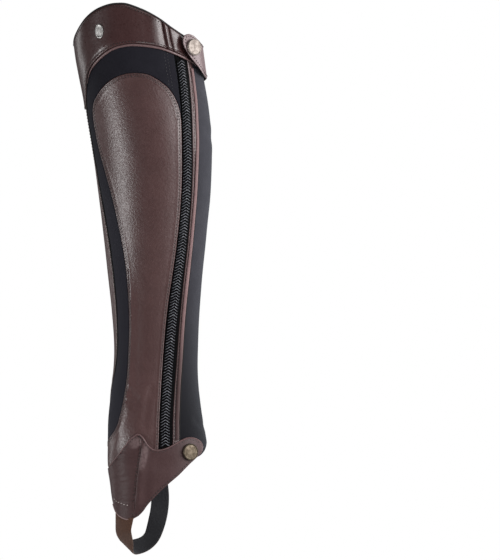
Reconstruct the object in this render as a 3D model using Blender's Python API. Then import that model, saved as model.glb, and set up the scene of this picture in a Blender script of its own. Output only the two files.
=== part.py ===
"""Half chap for the left leg, filled out as it is when worn.

The outer side looks along -Y, the shin along -X and the calf along +X. The origin
is inside the widest part of the calf. Sizes are in mm and angles in degrees until
the last step, which turns them into metres. "turn" is the angle round the leg:
0 at the shin, 90 at the outer side, 180 at the calf, and -90 at the inner side.
"""

import math

import bmesh
import bpy
from mathutils import Matrix, Vector
from mathutils.geometry import delaunay_2d_cdt

MM = 0.001

# ---------------------------------------------------------------- sizes, mm

WALL = 1.8  # leather and stretch cloth of the leg
GAP = 0.3  # between pieces that are sewn to each other
LAP = 0.4  # between a piece and the one that it lies on
BAND_WALL = 1.4
FLAP_WALL = 1.6
BORDER_WIDTH = 3.8  # folded, stitched edge of the outer leather panel
BORDER_SLOPE = 0.8
BORDER_RISE = 0.5
BORDER_END = (-270.0, -258.0)  # heights between which the border flattens out
CHAIN_WIDTH = 9.0
CHAIN_RISE = 1.9
CHAIN_ENDS = (87.5, -287.8)  # heights between the band and the ankle flap
ZIP_PIPING = 3.3
PIPING_ENDS = (79.0, -279.5)
BAND_PIPING = 2.4
BINDING_GAP = 0.1
BINDING_HEIGHT = 1.8
BINDING_OUT = 0.0  # how far its outer side is from the leg's surface
BAND_PIPING_TURNS = (25.0, 156.0)
SNAP_RADIUS = 8.0
SNAP_HEIGHT = 2.6
SNAP_CORNERS = 24
SNAP_FOOT = 2  # rings of its profile that stay on what it is fixed to
SNAP_PROFILE = [
    # radius, height, as shares of the cap's own
    (0.93, 0.0),
    (1.0, 0.12),
    (1.0, 0.45),
    (0.90, 0.62),
    (0.62, 0.86),
    (0.25, 1.0),
]
PLATE_WIDTH = 9.0
PLATE_HEIGHT = 13.6
PLATE_WALL = 1.0
PLATE_RADIUS = 62.0  # of the band where the plate lies
PLATE_CORNERS = 20
STRAP_WIDTH = 17.4
STRAP_WALL = 1.4
STRAP_ROLL = 5.0  # radius of the turn at the foot of the strap

UNROLL = 50.0  # radius with which turns are laid out flat
GRID_TURN = 6.55  # spacing of the points inside a piece, laid flat
GRID_HEIGHT = 14.0
EDGE_STEP = 6.6

# Section of the leg at each height: the shin's and the calf's place along X, half of
# the width along Y, how square the oval is (2 is an ellipse), and how much fuller
# the calf's half is than the shin's.
SECTIONS = [
    # height, front, back, half_width, squareness, fullness
    (150.0, -75.6, 42.0, 53.0, 2.05, 0.02),
    (107.0, -75.1, 45.3, 54.0, 2.05, 0.04),
    (90.0, -73.2, 47.3, 54.4, 2.05, 0.06),
    (70.0, -69.5, 50.0, 54.8, 2.05, 0.08),
    (35.0, -64.2, 55.8, 55.6, 2.05, 0.11),
    (0.0, -58.5, 58.2, 54.5, 2.05, 0.12),
    (-40.0, -53.0, 56.8, 51.0, 2.05, 0.11),
    (-80.0, -48.0, 52.9, 46.5, 2.05, 0.09),
    (-115.0, -43.7, 49.6, 42.0, 2.1, 0.06),
    (-155.0, -39.2, 46.0, 37.5, 2.15, 0.03),
    (-195.0, -37.1, 44.3, 35.0, 2.2, 0.0),
    (-230.0, -39.3, 45.2, 35.5, 2.25, -0.02),
    (-262.0, -42.9, 48.9, 37.5, 2.3, -0.04),
    (-286.0, -43.3, 53.0, 38.5, 2.4, -0.05),
    (-305.0, -43.3, 53.0, 38.5, 2.5, -0.04),
    (-325.0, -40.8, 53.0, 38.3, 2.55, -0.03),
    (-345.0, -39.8, 53.0, 38.0, 2.6, -0.02),
    (-375.0, -39.0, 53.0, 37.5, 2.6, 0.0),
]

# Top edge of the leg, all round.
LEG_TOP = [
    # turn, height
    (-180.0, 98.5), (-165.0, 97.5), (-140.0, 98.5), (-110.0, 103.0), (-80.0, 107.0),
    (-50.0, 107.5), (-25.0, 104.5), (0.0, 104.8), (16.5, 113.0), (26.0, 120.2),
    (36.0, 128.0), (49.0, 135.4), (62.6, 139.8), (73.0, 140.9), (81.2, 140.3),
    (95.3, 135.6), (105.0, 131.3), (115.5, 125.4), (126.0, 118.2), (137.5, 111.6),
    (150.0, 106.0), (165.0, 100.5), (180.0, 98.5),
]

# Lower edge of the top band, from the inner side round the shin to the calf.
BAND_LOW = [
    # turn, height
    (-180.0, 69.5), (-165.0, 67.0), (-145.0, 64.5), (-110.0, 62.5), (-80.0, 62.5),
    (-50.0, 59.5), (-32.0, 53.5), (-20.0, 47.0), (-8.0, 41.0), (2.0, 39.5), (11.0, 43.5),
    (18.0, 52.5), (22.6, 61.0), (27.0, 69.0), (32.0, 76.0), (37.2, 81.2), (43.9, 86.5),
    (50.9, 91.5), (58.3, 96.0), (65.0, 99.2), (71.4, 101.2), (83.7, 102.9), (99.5, 102.0),
    (115.2, 99.3), (131.9, 93.4), (147.1, 87.4), (168.0, 79.0),
]

# Seams, from the top of the leg to its foot. The first row of a seam that starts at
# the top edge gives only its turn.
SHIN_TOP = 38.0
SHIN_SEAM = [
    # turn, height
    (30.0, 80.0),
    (23.5, 66.0),
    (17.6, 58.0),
    (14.0, 48.0),
    (11.1, 35.0),
    (10.4, 17.0),
    (11.2, 0.0),
    (17.0, -40.0),
    (24.0, -80.0),
    (26.4, -115.0),
    (25.8, -155.0),
    (22.0, -195.0),
    (17.0, -214.0),
    (6.4, -231.0),
    (-7.0, -243.0),
    (-19.0, -262.0),
    (-28.0, -284.0),
]
TAPE_TOP = 128.0
TAPE_SEAM_UPPER = [
    # turn, height
    (127.7, 78.0), (127.2, 62.0), (126.2, 50.0), (125.1, 39.0), (123.8, 28.0),
]
TAPE_SEAM_LOWER = [
    # turn, height
    (123.8, 28.0), (121.6, 0.0), (120.8, -40.0), (118.8, -80.0), (114.5, -115.0),
    (107.5, -155.0), (102.3, -195.0), (99.4, -230.0), (96.2, -262.0), (92.2, -286.0),
    (90.5, -300.0),
]
ARCH_SEAM = [
    # turn, height
    (123.8, 28.0), (123.6, 38.0), (121.8, 47.0), (119.0, 54.0), (115.2, 60.0),
    (109.8, 65.0), (103.2, 69.6), (96.0, 73.0), (84.1, 74.4), (71.5, 73.0), (59.0, 68.5),
    (47.6, 61.5), (37.1, 52.5), (29.5, 44.5), (25.6, 33.0), (25.4, 17.0), (27.6, 0.0),
    (38.0, -40.0), (46.2, -80.0), (50.3, -115.0), (50.0, -155.0), (46.6, -195.0),
    (44.6, -230.0), (37.0, -262.0), (29.8, -272.0), (17.0, -279.0), (0.0, -283.0),
    (-14.0, -284.5), (-28.0, -284.0),
]
CHAIN_TOP = 134.2
CHAIN_LINE = [
    # turn, height
    (134.0, 92.0), (133.6, 79.0), (133.0, 67.0), (131.9, 54.0), (130.4, 40.0),
    (129.3, 28.0), (127.8, 8.0), (127.3, -12.0), (126.4, -48.0), (124.7, -87.0),
    (120.4, -126.0), (115.0, -165.0), (110.7, -204.0), (107.2, -243.0), (103.9, -267.0),
    (101.3, -288.0), (99.8, -300.0),
]
BINDING_TOP = 143.0
BINDING_SEAM = [
    # turn, height
    (142.8, 87.0), (142.2, 70.0), (139.5, 50.0), (137.0, 30.0), (134.8, 5.0),
    (134.0, -40.0), (133.2, -87.0), (129.9, -126.0), (126.7, -165.0), (123.4, -204.0),
    (118.9, -240.0), (115.3, -265.0), (111.8, -286.0), (109.8, -300.0),
]
CALF_TOP = 149.5
CALF_SEAM = [
    # turn, height
    (149.4, 87.0), (149.2, 70.0), (147.0, 48.0), (144.4, 29.0), (142.8, 9.0),
    (141.4, -10.0), (140.5, -48.0), (139.9, -87.0), (137.6, -126.0), (134.8, -165.0),
    (132.2, -204.0), (127.4, -243.0), (123.8, -267.0), (120.2, -288.0), (118.5, -300.0),
]
INNER_TOP = 205.0
INNER_SEAM = [
    # turn, height
    (204.5, 40.0),
    (204.0, -60.0),
    (203.0, -150.0),
    (203.0, -225.0),
    (203.0, -286.0),
]

# Hems, from left to right as they are laid flat.
INNER_HEM = [
    # turn, height
    (-157.0, -286.0),
    (-145.0, -296.0),
    (-130.0, -307.0),
    (-115.0, -318.0),
    (-100.0, -326.5),
    (-85.0, -331.0),
    (-70.0, -330.5),
    (-58.0, -325.0),
    (-48.0, -316.0),
    (-38.0, -306.5),
    (-26.0, -300.0),
]
INSTEP_SEAM = [
    # turn, height
    (-28.0, -284.0),
    (-26.0, -300.0),
]
OUTER_HEM = [
    # turn, height
    (-26.0, -300.0),
    (-10.0, -305.0),
    (6.0, -308.5),
    (20.0, -311.0),
    (34.0, -309.0),
    (50.0, -303.0),
    (68.0, -300.0),
    (90.5, -300.0),
]
BACK_HEM = [
    # turn, height
    (118.5, -300.0),
    (135.0, -300.0),
    (150.0, -297.0),
    (160.0, -293.0),
    (170.0, -287.5),
    (178.0, -284.0),
    (190.0, -283.5),
    (203.0, -286.0),
]

# Outlines of the top band's pieces.
BAND_FRONT_TURN = -20.0
BAND_INNER_TURN = -165.0  # where the inner side's top edge starts up to the tab
BAND_PIECES = [
    # name, turns of its front edge at the top and below, turns of its rear edge
    ("band_front", (BAND_FRONT_TURN, BAND_FRONT_TURN), (117.0, 120.6)),
    ("band_gusset", (117.0, 120.6), (123.7, 126.8)),
    ("band_rear", (123.7, 126.8), (168.0, 168.0)),
]
TAB_END = [
    # turn, height
    (-180.0, 69.5), (-190.0, 70.3), (-199.6, 72.2), (-206.5, 75.7), (-211.4, 79.8),
    (-215.9, 84.6), (-219.4, 89.2), (-222.1, 93.5), (-224.2, 97.7), (-225.3, 102.0),
    (-225.1, 106.4), (-223.6, 109.9), (-220.5, 111.6), (-217.0, 111.9), (-212.5, 110.4),
    (-205.4, 107.0), (-196.7, 104.6), (-188.0, 103.2), (-180.0, 102.5),
]
TAB_LIFT = (-160.0, -187.0)  # turns between which the tab climbs onto the rear band
TAB_RISE = 4.5  # how far its tip stands off
TAB_SPRING = (-188.0, -214.0)  # turns between which it springs off

# Outlines of the ankle flap's pieces, starting at the top of the seam between them.
FLAP_SEAM = [
    # turn, height
    (67.2, -276.6),
    (68.4, -288.0),
    (65.2, -305.0),
    (61.0, -320.0),
    (57.6, -339.0),
    (54.9, -357.6),
]
FLAP_FRONT_TOP = [
    # turn, height
    (67.2, -276.6),
    (63.5, -276.2),
    (59.3, -278.0),
    (53.8, -281.0),
    (48.4, -286.0),
    (41.6, -293.0),
    (34.0, -300.0),
    (22.5, -307.0),
    (3.0, -309.5),
]
FLAP_FRONT_LOW = [
    # turn, height
    (3.0, -309.5),
    (9.0, -320.0),
    (14.2, -329.0),
    (19.8, -337.0),
    (25.5, -345.0),
    (31.5, -352.0),
    (40.7, -356.8),
    (48.5, -358.3),
    (54.9, -357.6),
]
FLAP_REAR_LOW = [
    # turn, height
    (54.9, -357.6),
    (61.2, -355.0),
    (67.8, -350.4),
    (73.3, -345.0),
    (80.3, -339.5),
    (92.0, -331.5),
    (106.2, -323.0),
    (119.4, -315.0),
    (132.4, -305.5),
    (146.8, -295.5),
]
FLAP_REAR_TOP = [
    # turn, height
    (146.8, -295.5),
    (151.5, -291.0),
    (152.6, -287.0),
    (149.9, -283.6),
    (144.2, -281.0),
    (137.4, -279.6),
    (130.6, -280.0),
    (123.8, -282.0),
    (115.6, -285.2),
    (107.4, -288.4),
    (99.1, -290.6),
    (90.6, -291.3),
    (83.5, -290.6),
    (78.1, -287.6),
    (74.3, -284.0),
    (70.8, -279.6),
    (67.2, -276.6),
]

PLATE_CENTRE = (52.3, 115.0)
TOP_SNAP = (-215.3, 99.4)
TOP_SNAP_TILT = 11.0  # its cap leans forward, off the tab
ANKLE_SNAP = (133.5, -293.0)

# Foot strap, laid flat as it is seen from the outer side: it hangs straight down,
# rolls over once along a line at 45 degrees, and rises again behind.
STRAP_START = (-26.6, -333.0)  # middle of its sewn end, along X and Z
STRAP_FOLD = (-30.0, -372.9)  # a point on the line where it starts to roll over
STRAP_COURSE = [
    # length, bend in its own plane
    (41.0, 0.0),
    (27.0, 15.0),
    (18.5, 51.0),
    (50.0, 35.0),
]
STRAP_STEP = 4.5
STRAP_COLUMNS = 5
STRAP_DEPTHS = (-28.0, 27.0)  # along Y, before the roll's radius is added
OUTER_END_LIFT = -0.9
INNER_END_LIFT = -3.1
STRAP_OUTER_HOLD = (0.18, 0.42)  # shares of its length where it leaves the flap
STRAP_INNER_HOLD = (0.72, 0.92)  # and comes up to the inner panel

# ---------------------------------------------------------------- colours

COLOURS = {
    # name: red, green, blue, roughness, metallic
    "leather": (0.080, 0.048, 0.044, 0.42, 0.0),
    "band_leather": (0.060, 0.034, 0.031, 0.38, 0.0),
    "stretch_cloth": (0.017, 0.018, 0.023, 0.85, 0.0),
    "zip_tape": (0.010, 0.010, 0.011, 0.80, 0.0),
    "zip_chain": (0.030, 0.030, 0.034, 0.40, 0.0),
    "piping": (0.125, 0.080, 0.074, 0.45, 0.0),
    "edge_cloth": (0.020, 0.015, 0.015, 0.60, 0.0),
    "plate_metal": (0.600, 0.600, 0.590, 0.25, 1.0),
    "snap_metal": (0.300, 0.240, 0.160, 0.35, 1.0),
    "elastic": (0.070, 0.035, 0.022, 0.80, 0.0),
}


def material(name):
    """A material of one of the named colours."""
    red, green, blue, roughness, metallic = COLOURS[name]
    made = bpy.data.materials.new(name)
    made.use_nodes = True
    shader = made.node_tree.nodes["Principled BSDF"]
    shader.inputs["Base Color"].default_value = (red, green, blue, 1.0)
    shader.inputs["Roughness"].default_value = roughness
    shader.inputs["Metallic"].default_value = metallic
    return made


# ---------------------------------------------------------------- curves

def hermite(before, start, end, after, share):
    """A cubic from start to end; each argument is a (place, value) pair."""
    span = end[0] - start[0]

    def slope(left, right):
        return (right[1] - left[1]) / (right[0] - left[0]) * span

    leaving = slope(before, end)
    arriving = slope(start, after)
    square = share * share
    cube = square * share
    return (
        (2 * cube - 3 * square + 1) * start[1]
        + (cube - 2 * square + share) * leaving
        + (3 * square - 2 * cube) * end[1]
        + (cube - square) * arriving
    )


def smooth_value(pairs, place):
    """The value at a place on the smooth curve through (place, value) pairs."""
    last = len(pairs) - 1
    place = min(max(place, pairs[0][0]), pairs[last][0])
    index = 0
    while index < last - 1 and pairs[index + 1][0] <= place:
        index += 1
    start = pairs[index]
    end = pairs[index + 1]
    before = pairs[max(index - 1, 0)]
    after = pairs[min(index + 2, last)]
    return hermite(before, start, end, after, (place - start[0]) / (end[0] - start[0]))


def ease(value, start, end):
    """0 at start, 1 at end, with soft ends."""
    share = min(max((value - start) / (end - start), 0.0), 1.0)
    return share * share * (3.0 - 2.0 * share)


def flat(row):
    """A (turn, height) row laid out flat."""
    return Vector((math.radians(row[0]) * UNROLL, row[1]))


def trace(rows, step=EDGE_STEP):
    """Points at even steps on a smooth curve through rows of (turn, height)."""
    corners = [flat(row) for row in rows]
    lengths = [0.0]
    for left, right in zip(corners, corners[1:]):
        lengths.append(lengths[-1] + (right - left).length)
    along = list(zip(lengths, [corner.x for corner in corners]))
    up = list(zip(lengths, [corner.y for corner in corners]))
    count = max(round(lengths[-1] / step), 1)
    places = [lengths[-1] * index / count for index in range(count + 1)]
    return [Vector((smooth_value(along, at), smooth_value(up, at))) for at in places]


def leg_top(turn):
    return smooth_value(LEG_TOP, turn if turn <= 180.0 else turn - 360.0)


def band_low(turn):
    return smooth_value(BAND_LOW, turn)


def level(height_at, first, last):
    """Points along a height function, from one turn to another."""
    span = math.radians(abs(last - first)) * UNROLL
    count = max(round(span / EDGE_STEP), 1)
    turns = [first + (last - first) * index / count for index in range(count + 1)]
    return [flat((turn, height_at(turn))) for turn in turns]


def seam(top_turn, rows):
    """A seam that starts at the leg's top edge."""
    return trace([(top_turn, leg_top(top_turn))] + rows)


def shifted(points, turns):
    """The same points, seen after going round the leg by some degrees."""
    return [point + flat((turns, 0.0)) for point in points]


def stretch_of(points, top, bottom):
    """The part of a path that runs down from one height to another."""
    cut = []
    for first, second in zip(points, points[1:]):
        if first.y > top >= second.y:
            cut.append(first.lerp(second, (first.y - top) / (first.y - second.y)))
        if second.y < top and first.y <= top and first.y > bottom:
            cut.append(first)
        if first.y > bottom >= second.y:
            cut.append(first.lerp(second, (first.y - bottom) / (first.y - second.y)))
    return cut


def outline(*runs):
    """One closed loop from runs that each start where the one before ends."""
    loop = []
    for run in runs:
        loop.extend(run[:-1])
    return loop


def back(points):
    return points[::-1]


# ---------------------------------------------------------------- the leg's skin

COLUMNS = [
    [(row[0], row[column]) for row in reversed(SECTIONS)] for column in range(1, 6)
]


def skin_point(turn, height):
    """A point of the leg's outer surface, in mm."""
    front, rear, half_width, squareness, fullness = [
        smooth_value(column, height) for column in COLUMNS
    ]
    centre = (front + rear) / 2
    half_length = (rear - front) / 2
    cosine = math.cos(math.radians(turn))
    sine = math.sin(math.radians(turn))
    reach = (
        abs(cosine / half_length) ** squareness + abs(sine / half_width) ** squareness
    ) ** (-1.0 / squareness)
    return Vector((
        centre - reach * cosine,
        -reach * sine * (1.0 - fullness * cosine),
        height,
    ))


def skin_frame(turn, height):
    """The leg's surface at a turn and height: its point, and the way out from it."""
    nudge = 0.25
    round_way = skin_point(turn + nudge, height) - skin_point(turn - nudge, height)
    up_way = skin_point(turn, height + nudge) - skin_point(turn, height - nudge)
    return skin_point(turn, height), round_way.cross(up_way).normalized()


def skin(point, lift):
    """A flat point put back on the leg, lifted off its surface."""
    place, out = skin_frame(math.degrees(point.x / UNROLL), point.y)
    return place + out * lift


def skin_depth(x, height, lift):
    """How far from the leg's middle plane its outer side is, at a place along X."""
    low = 0.0
    high = 180.0
    for _ in range(24):
        turn = (low + high) / 2
        place, out = skin_frame(turn, height)
        place += out * lift
        if place.x < x:
            low = turn
        else:
            high = turn
    return -place.y


# ---------------------------------------------------------------- making pieces

def finish(name, points, faces, colour):
    """An object from points in mm and faces, closed and facing out."""
    mesh = bpy.data.meshes.new(name)
    mesh.from_pydata([point * MM for point in points], [], faces)
    shape = bmesh.new()
    shape.from_mesh(mesh)
    bmesh.ops.recalc_face_normals(shape, faces=shape.faces)
    shape.to_mesh(mesh)
    shape.free()
    mesh.materials.append(material(colour))
    made = bpy.data.objects.new(name, mesh)
    bpy.context.scene.collection.objects.link(made)
    return made


def inset(loop, distance):
    """A closed loop, moved inwards. The loop runs anticlockwise."""
    moved = []
    for index, point in enumerate(loop):
        before = (point - loop[index - 1]).normalized()
        after = (loop[(index + 1) % len(loop)] - point).normalized()
        left_before = Vector((-before.y, before.x))
        left_after = Vector((-after.y, after.x))
        spread = max(1.0 + left_before.dot(left_after), 0.35)
        moved.append(point + (left_before + left_after) * (distance / spread))
    return moved


def inside(point, loop):
    """Whether a flat point is inside a closed loop."""
    crossings = 0
    for first, second in zip(loop, loop[1:] + loop[:1]):
        if (first.y > point.y) != (second.y > point.y):
            share = (point.y - first.y) / (second.y - first.y)
            if point.x < first.x + share * (second.x - first.x):
                crossings += 1
    return crossings % 2 == 1


def distance_to(point, loop):
    """How far a flat point is from a closed loop."""
    nearest = math.inf
    for first, second in zip(loop, loop[1:] + loop[:1]):
        side = second - first
        share = min(max((point - first).dot(side) / side.length_squared, 0.0), 1.0)
        nearest = min(nearest, (first + side * share - point).length)
    return nearest


def grid_points(loop, clear):
    """Staggered rows of points inside a loop, some way off its edge."""
    left = min(point.x for point in loop)
    right = max(point.x for point in loop)
    low = min(point.y for point in loop)
    high = max(point.y for point in loop)
    found = []
    for row in range(math.ceil(low / GRID_HEIGHT), math.floor(high / GRID_HEIGHT) + 1):
        shift = 0.5 * (row % 2)
        first = math.ceil(left / GRID_TURN - shift)
        last = math.floor(right / GRID_TURN - shift)
        for column in range(first, last + 1):
            point = Vector(((column + shift) * GRID_TURN, row * GRID_HEIGHT))
            if inside(point, loop) and distance_to(point, loop) > clear:
                found.append(point)
    return found


def sheet_triangles(loops, edge):
    """Points and triangles of a flat piece with the given loops as fold lines."""
    points = []
    lines = []
    for loop in loops:
        first = len(points)
        points.extend(loop)
        lines.extend(
            (first + index, first + (index + 1) % len(loop)) for index in range(len(loop))
        )
    points.extend(grid_points(loops[-1], GRID_TURN * 0.4))
    placed, _, triangles, *_ = delaunay_2d_cdt(points, lines, [], 0, 1e-6)
    kept = []
    for triangle in triangles:
        middle = sum((placed[corner] for corner in triangle), Vector((0.0, 0.0))) / 3
        if inside(middle, edge):
            kept.append(tuple(triangle))
    return placed, kept


def wall(name, loop, inner, outer, colour, folds=()):
    """A piece of cloth: a flat outline put round the leg, with a thickness.

    inner and outer give the height of its two faces over the leg's surface, and
    folds are the distances from its edge at which it has a line to bend along.
    """
    edge = inset(loop, GAP * 0.67)
    loops = [edge] + [inset(loop, distance) for distance in folds]
    placed, triangles = sheet_triangles(loops, edge)
    used = sorted({corner for triangle in triangles for corner in triangle})
    order = {corner: index for index, corner in enumerate(used)}
    count = len(used)
    points = [skin(placed[corner], outer(placed[corner])) for corner in used]
    points += [skin(placed[corner], inner(placed[corner])) for corner in used]
    triangles = [tuple(order[corner] for corner in triangle) for triangle in triangles]
    faces = list(triangles)
    faces += [tuple(corner + count for corner in reversed(tri)) for tri in triangles]
    sides = {(tri[index], tri[(index + 1) % 3]) for tri in triangles for index in range(3)}
    for first, second in sorted(sides):
        if (second, first) not in sides:
            faces.append((second, first, first + count, second + count))
    return finish(name, points, faces, colour)


def at(height):
    """The same height over the surface everywhere."""
    return lambda point: height


def tube(name, rings, colour, closed=False):
    """A body through rings of points, closed into itself or capped."""
    size = len(rings[0])
    count = len(rings)
    points = [point for ring in rings for point in ring]
    faces = []
    for index in range(count if closed else count - 1):
        this = index * size
        following = (index + 1) % count * size
        for corner in range(size):
            beside = (corner + 1) % size
            faces.append((this + corner, this + beside, following + beside, following + corner))
    if not closed:
        faces.append(tuple(range(size)))
        faces.append(tuple(range((count - 1) * size, count * size)))
    return finish(name, points, faces, colour)


def cord(name, path, profile, colour, closed=False):
    """A piece along a flat path on the leg, from a profile of (across, out) points."""
    places = [skin_frame(math.degrees(point.x / UNROLL), point.y) for point in path]
    count = len(places)
    rings = []
    for index, (place, out) in enumerate(places):
        if closed:
            ahead = places[(index + 1) % count][0]
            behind = places[index - 1][0]
        else:
            ahead = places[min(index + 1, count - 1)][0]
            behind = places[max(index - 1, 0)][0]
        along = (ahead - behind).normalized()
        across = out.cross(along).normalized()
        rings.append([place + across * side + out * lift for side, lift in profile])
    return tube(name, rings, colour, closed)


def rounded(left, right, low, high, crown=0.6):
    """A profile with a flat underside and a soft top."""
    middle = (left + right) / 2
    half = (right - left) / 2
    shoulder = low + (high - low) * crown
    return [
        (left, low),
        (right, low),
        (right, shoulder),
        (middle + half * 0.55, high),
        (middle - half * 0.55, high),
        (left, shoulder),
    ]


# ---------------------------------------------------------------- the leg's panels

def leg_seams():
    """Every seam of the leg, as points laid flat, from top to foot."""
    return {
        "shin": seam(SHIN_TOP, SHIN_SEAM),
        "tape_upper": seam(TAPE_TOP, TAPE_SEAM_UPPER),
        "tape_lower": trace(TAPE_SEAM_LOWER),
        "arch": trace(ARCH_SEAM),
        "chain": seam(CHAIN_TOP, CHAIN_LINE),
        "binding": seam(BINDING_TOP, BINDING_SEAM),
        "calf": seam(CALF_TOP, CALF_SEAM),
        "inner": seam(INNER_TOP, INNER_SEAM),
        "instep": trace(INSTEP_SEAM),
    }


def border_height(loop):
    """Raised within the border's width of a panel's edge, flat elsewhere."""
    def height(point):
        inward = distance_to(point, loop)
        rise = BORDER_RISE * (1.0 - ease(inward, BORDER_WIDTH, BORDER_WIDTH + BORDER_SLOPE))
        return rise * ease(point.y, *BORDER_END)
    return height


def make_leg(seams):
    """The panels that go round the leg edge to edge."""
    inside_face = at(-WALL)
    outside_face = at(0.0)
    wall(
        "inner_panel",
        outline(
            trace(INNER_HEM),
            back(seams["instep"]),
            back(seams["shin"]),
            level(leg_top, SHIN_TOP, INNER_TOP - 360.0),
            shifted(seams["inner"], -360.0),
        ),
        inside_face,
        outside_face,
        "leather",
    )
    wall(
        "outer_stretch_panel",
        outline(
            back(seams["arch"]),
            back(seams["tape_upper"]),
            level(leg_top, TAPE_TOP, SHIN_TOP),
            seams["shin"],
        ),
        inside_face,
        outside_face,
        "stretch_cloth",
    )
    leather = outline(
        trace(OUTER_HEM),
        back(seams["tape_lower"]),
        seams["arch"],
        seams["instep"],
    )
    wall(
        "outer_leather_panel",
        leather,
        inside_face,
        border_height(leather),
        "leather",
        folds=(BORDER_WIDTH, BORDER_WIDTH + BORDER_SLOPE),
    )
    wall(
        "back_stretch_panel",
        outline(
            trace(BACK_HEM),
            back(seams["inner"]),
            level(leg_top, INNER_TOP, CALF_TOP),
            seams["calf"],
        ),
        inside_face,
        outside_face,
        "stretch_cloth",
    )


def between(left, right):
    """The outline between two seams that both run from top to foot."""
    return outline(left, [left[-1], right[-1]], back(right), [right[0], left[0]])


def make_zip(seams):
    """Tapes, chain and the piped binding beside them."""
    tape_edge = seams["tape_upper"][:-1] + seams["tape_lower"]
    wall("zip_tape_front", between(tape_edge, seams["chain"]), at(-WALL), at(-0.3), "zip_tape")
    wall(
        "zip_tape_rear", between(seams["chain"], seams["binding"]), at(-WALL), at(-0.3), "zip_tape"
    )
    chain_low = -0.3 + LAP
    cord(
        "zip_chain",
        stretch_of(seams["chain"], CHAIN_ENDS[0], CHAIN_ENDS[1]),
        rounded(-CHAIN_WIDTH / 2, CHAIN_WIDTH / 2, chain_low, chain_low + CHAIN_RISE),
        "zip_chain",
    )
    wall("zip_binding", between(seams["binding"], seams["calf"]), at(-WALL), at(0.0), "piping")
    cord(
        "zip_piping",
        stretch_of(seams["calf"], PIPING_ENDS[0], PIPING_ENDS[1]),
        rounded(-GAP - ZIP_PIPING, -GAP, LAP, LAP + ZIP_PIPING * 0.5, 0.45),
        "piping",
    )


# ---------------------------------------------------------------- the top band

def band_inner_lift(point):
    """The band's inner face: on the leg, then up onto the rear end under the tab."""
    turn = math.degrees(point.x / UNROLL)
    return LAP + (BAND_WALL + GAP) * ease(turn, *TAB_LIFT) + TAB_RISE * ease(turn, *TAB_SPRING)


def tab_face(point):
    """The height of the band's and the tab's outer face over the leg."""
    return band_inner_lift(point) + BAND_WALL


def band_line(top_turn, low_turn):
    """A seam across the band, from its top edge to its lower edge."""
    return [flat((top_turn, leg_top(top_turn))), flat((low_turn, band_low(low_turn)))]


def band_piece(name, front, rear):
    """A piece of the band's outer side, between two seams across it."""
    wall(
        name,
        outline(
            level(band_low, front[1], rear[1]),
            back(band_line(*rear)),
            level(leg_top, rear[0], front[0]),
            band_line(*front),
        ),
        at(LAP),
        at(LAP + BAND_WALL),
        "band_leather",
    )


def make_band():
    """The band's pieces; the inner side's piece ends in the tab."""
    for name, front, rear in BAND_PIECES:
        band_piece(name, front, rear)
    tab_end = trace(TAB_END)
    wall(
        "band_inner_side",
        outline(
            level(band_low, -180.0, BAND_FRONT_TURN),
            back(band_line(BAND_FRONT_TURN, BAND_FRONT_TURN)),
            level(leg_top, BAND_FRONT_TURN, BAND_INNER_TURN),
            [flat((BAND_INNER_TURN, leg_top(BAND_INNER_TURN))), tab_end[-1]],
            back(tab_end),
        ),
        band_inner_lift,
        tab_face,
        "band_leather",
    )


def make_trim():
    """Piping under the band, the dark top edge and the blank plate."""
    face = LAP + BAND_WALL
    cord(
        "band_piping",
        level(band_low, BAND_PIPING_TURNS[0], BAND_PIPING_TURNS[1]),
        rounded(-GAP - BAND_PIPING, -GAP, LAP, LAP + BAND_PIPING * 0.75),
        "piping",
    )
    cord(
        "top_binding",
        level(leg_top, -180.0, 180.0)[:-1],
        [
            (BINDING_GAP, -WALL),
            (BINDING_GAP, BINDING_OUT),
            (BINDING_HEIGHT * 0.8, BINDING_OUT),
            (BINDING_HEIGHT, BINDING_OUT - 0.4),
            (BINDING_HEIGHT, 0.4 - WALL),
            (BINDING_HEIGHT * 0.8, -WALL),
        ],
        "edge_cloth",
        closed=True,
    )
    centre = flat(PLATE_CENTRE)
    oval = []
    for index in range(PLATE_CORNERS):
        angle = math.tau * index / PLATE_CORNERS
        across = math.cos(angle) * PLATE_WIDTH / 2 * UNROLL / PLATE_RADIUS
        oval.append(centre + Vector((across, math.sin(angle) * PLATE_HEIGHT / 2)))
    wall("plate", oval, at(face + LAP), at(face + LAP + PLATE_WALL), "plate_metal")


def snap(name, spot, face, tilt=0.0):
    """The cap of a snap: its foot lies on a face, and its dome may lean forward."""
    centre = flat(spot)
    reach = SNAP_RADIUS / 2
    right, left, above, below = [
        skin(centre + Vector(offset), face(centre + Vector(offset)))
        for offset in ((reach, 0.0), (-reach, 0.0), (0.0, reach), (0.0, -reach))
    ]
    out = (right - left).cross(above - below).normalized()
    place = skin(centre, face(centre) + GAP)
    square = Vector((0.0, 0.0, 1.0)).rotation_difference(out).to_matrix()
    leaning = Matrix.Rotation(-math.radians(tilt), 3, "Z") @ square
    raised = out * (math.sin(math.radians(tilt)) * SNAP_RADIUS)
    rings = []
    for number, (radius, height) in enumerate(SNAP_PROFILE):
        ring = []
        for index in range(SNAP_CORNERS):
            angle = math.tau * index / SNAP_CORNERS
            spoke = Vector((math.cos(angle), math.sin(angle), 0.0)) * radius * SNAP_RADIUS
            spoke.z = height * SNAP_HEIGHT
            if number < SNAP_FOOT:
                ring.append(place + square @ spoke)
            else:
                ring.append(place + raised + leaning @ spoke)
        rings.append(ring)
    return tube(name, rings, "snap_metal")


# ---------------------------------------------------------------- ankle

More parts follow.
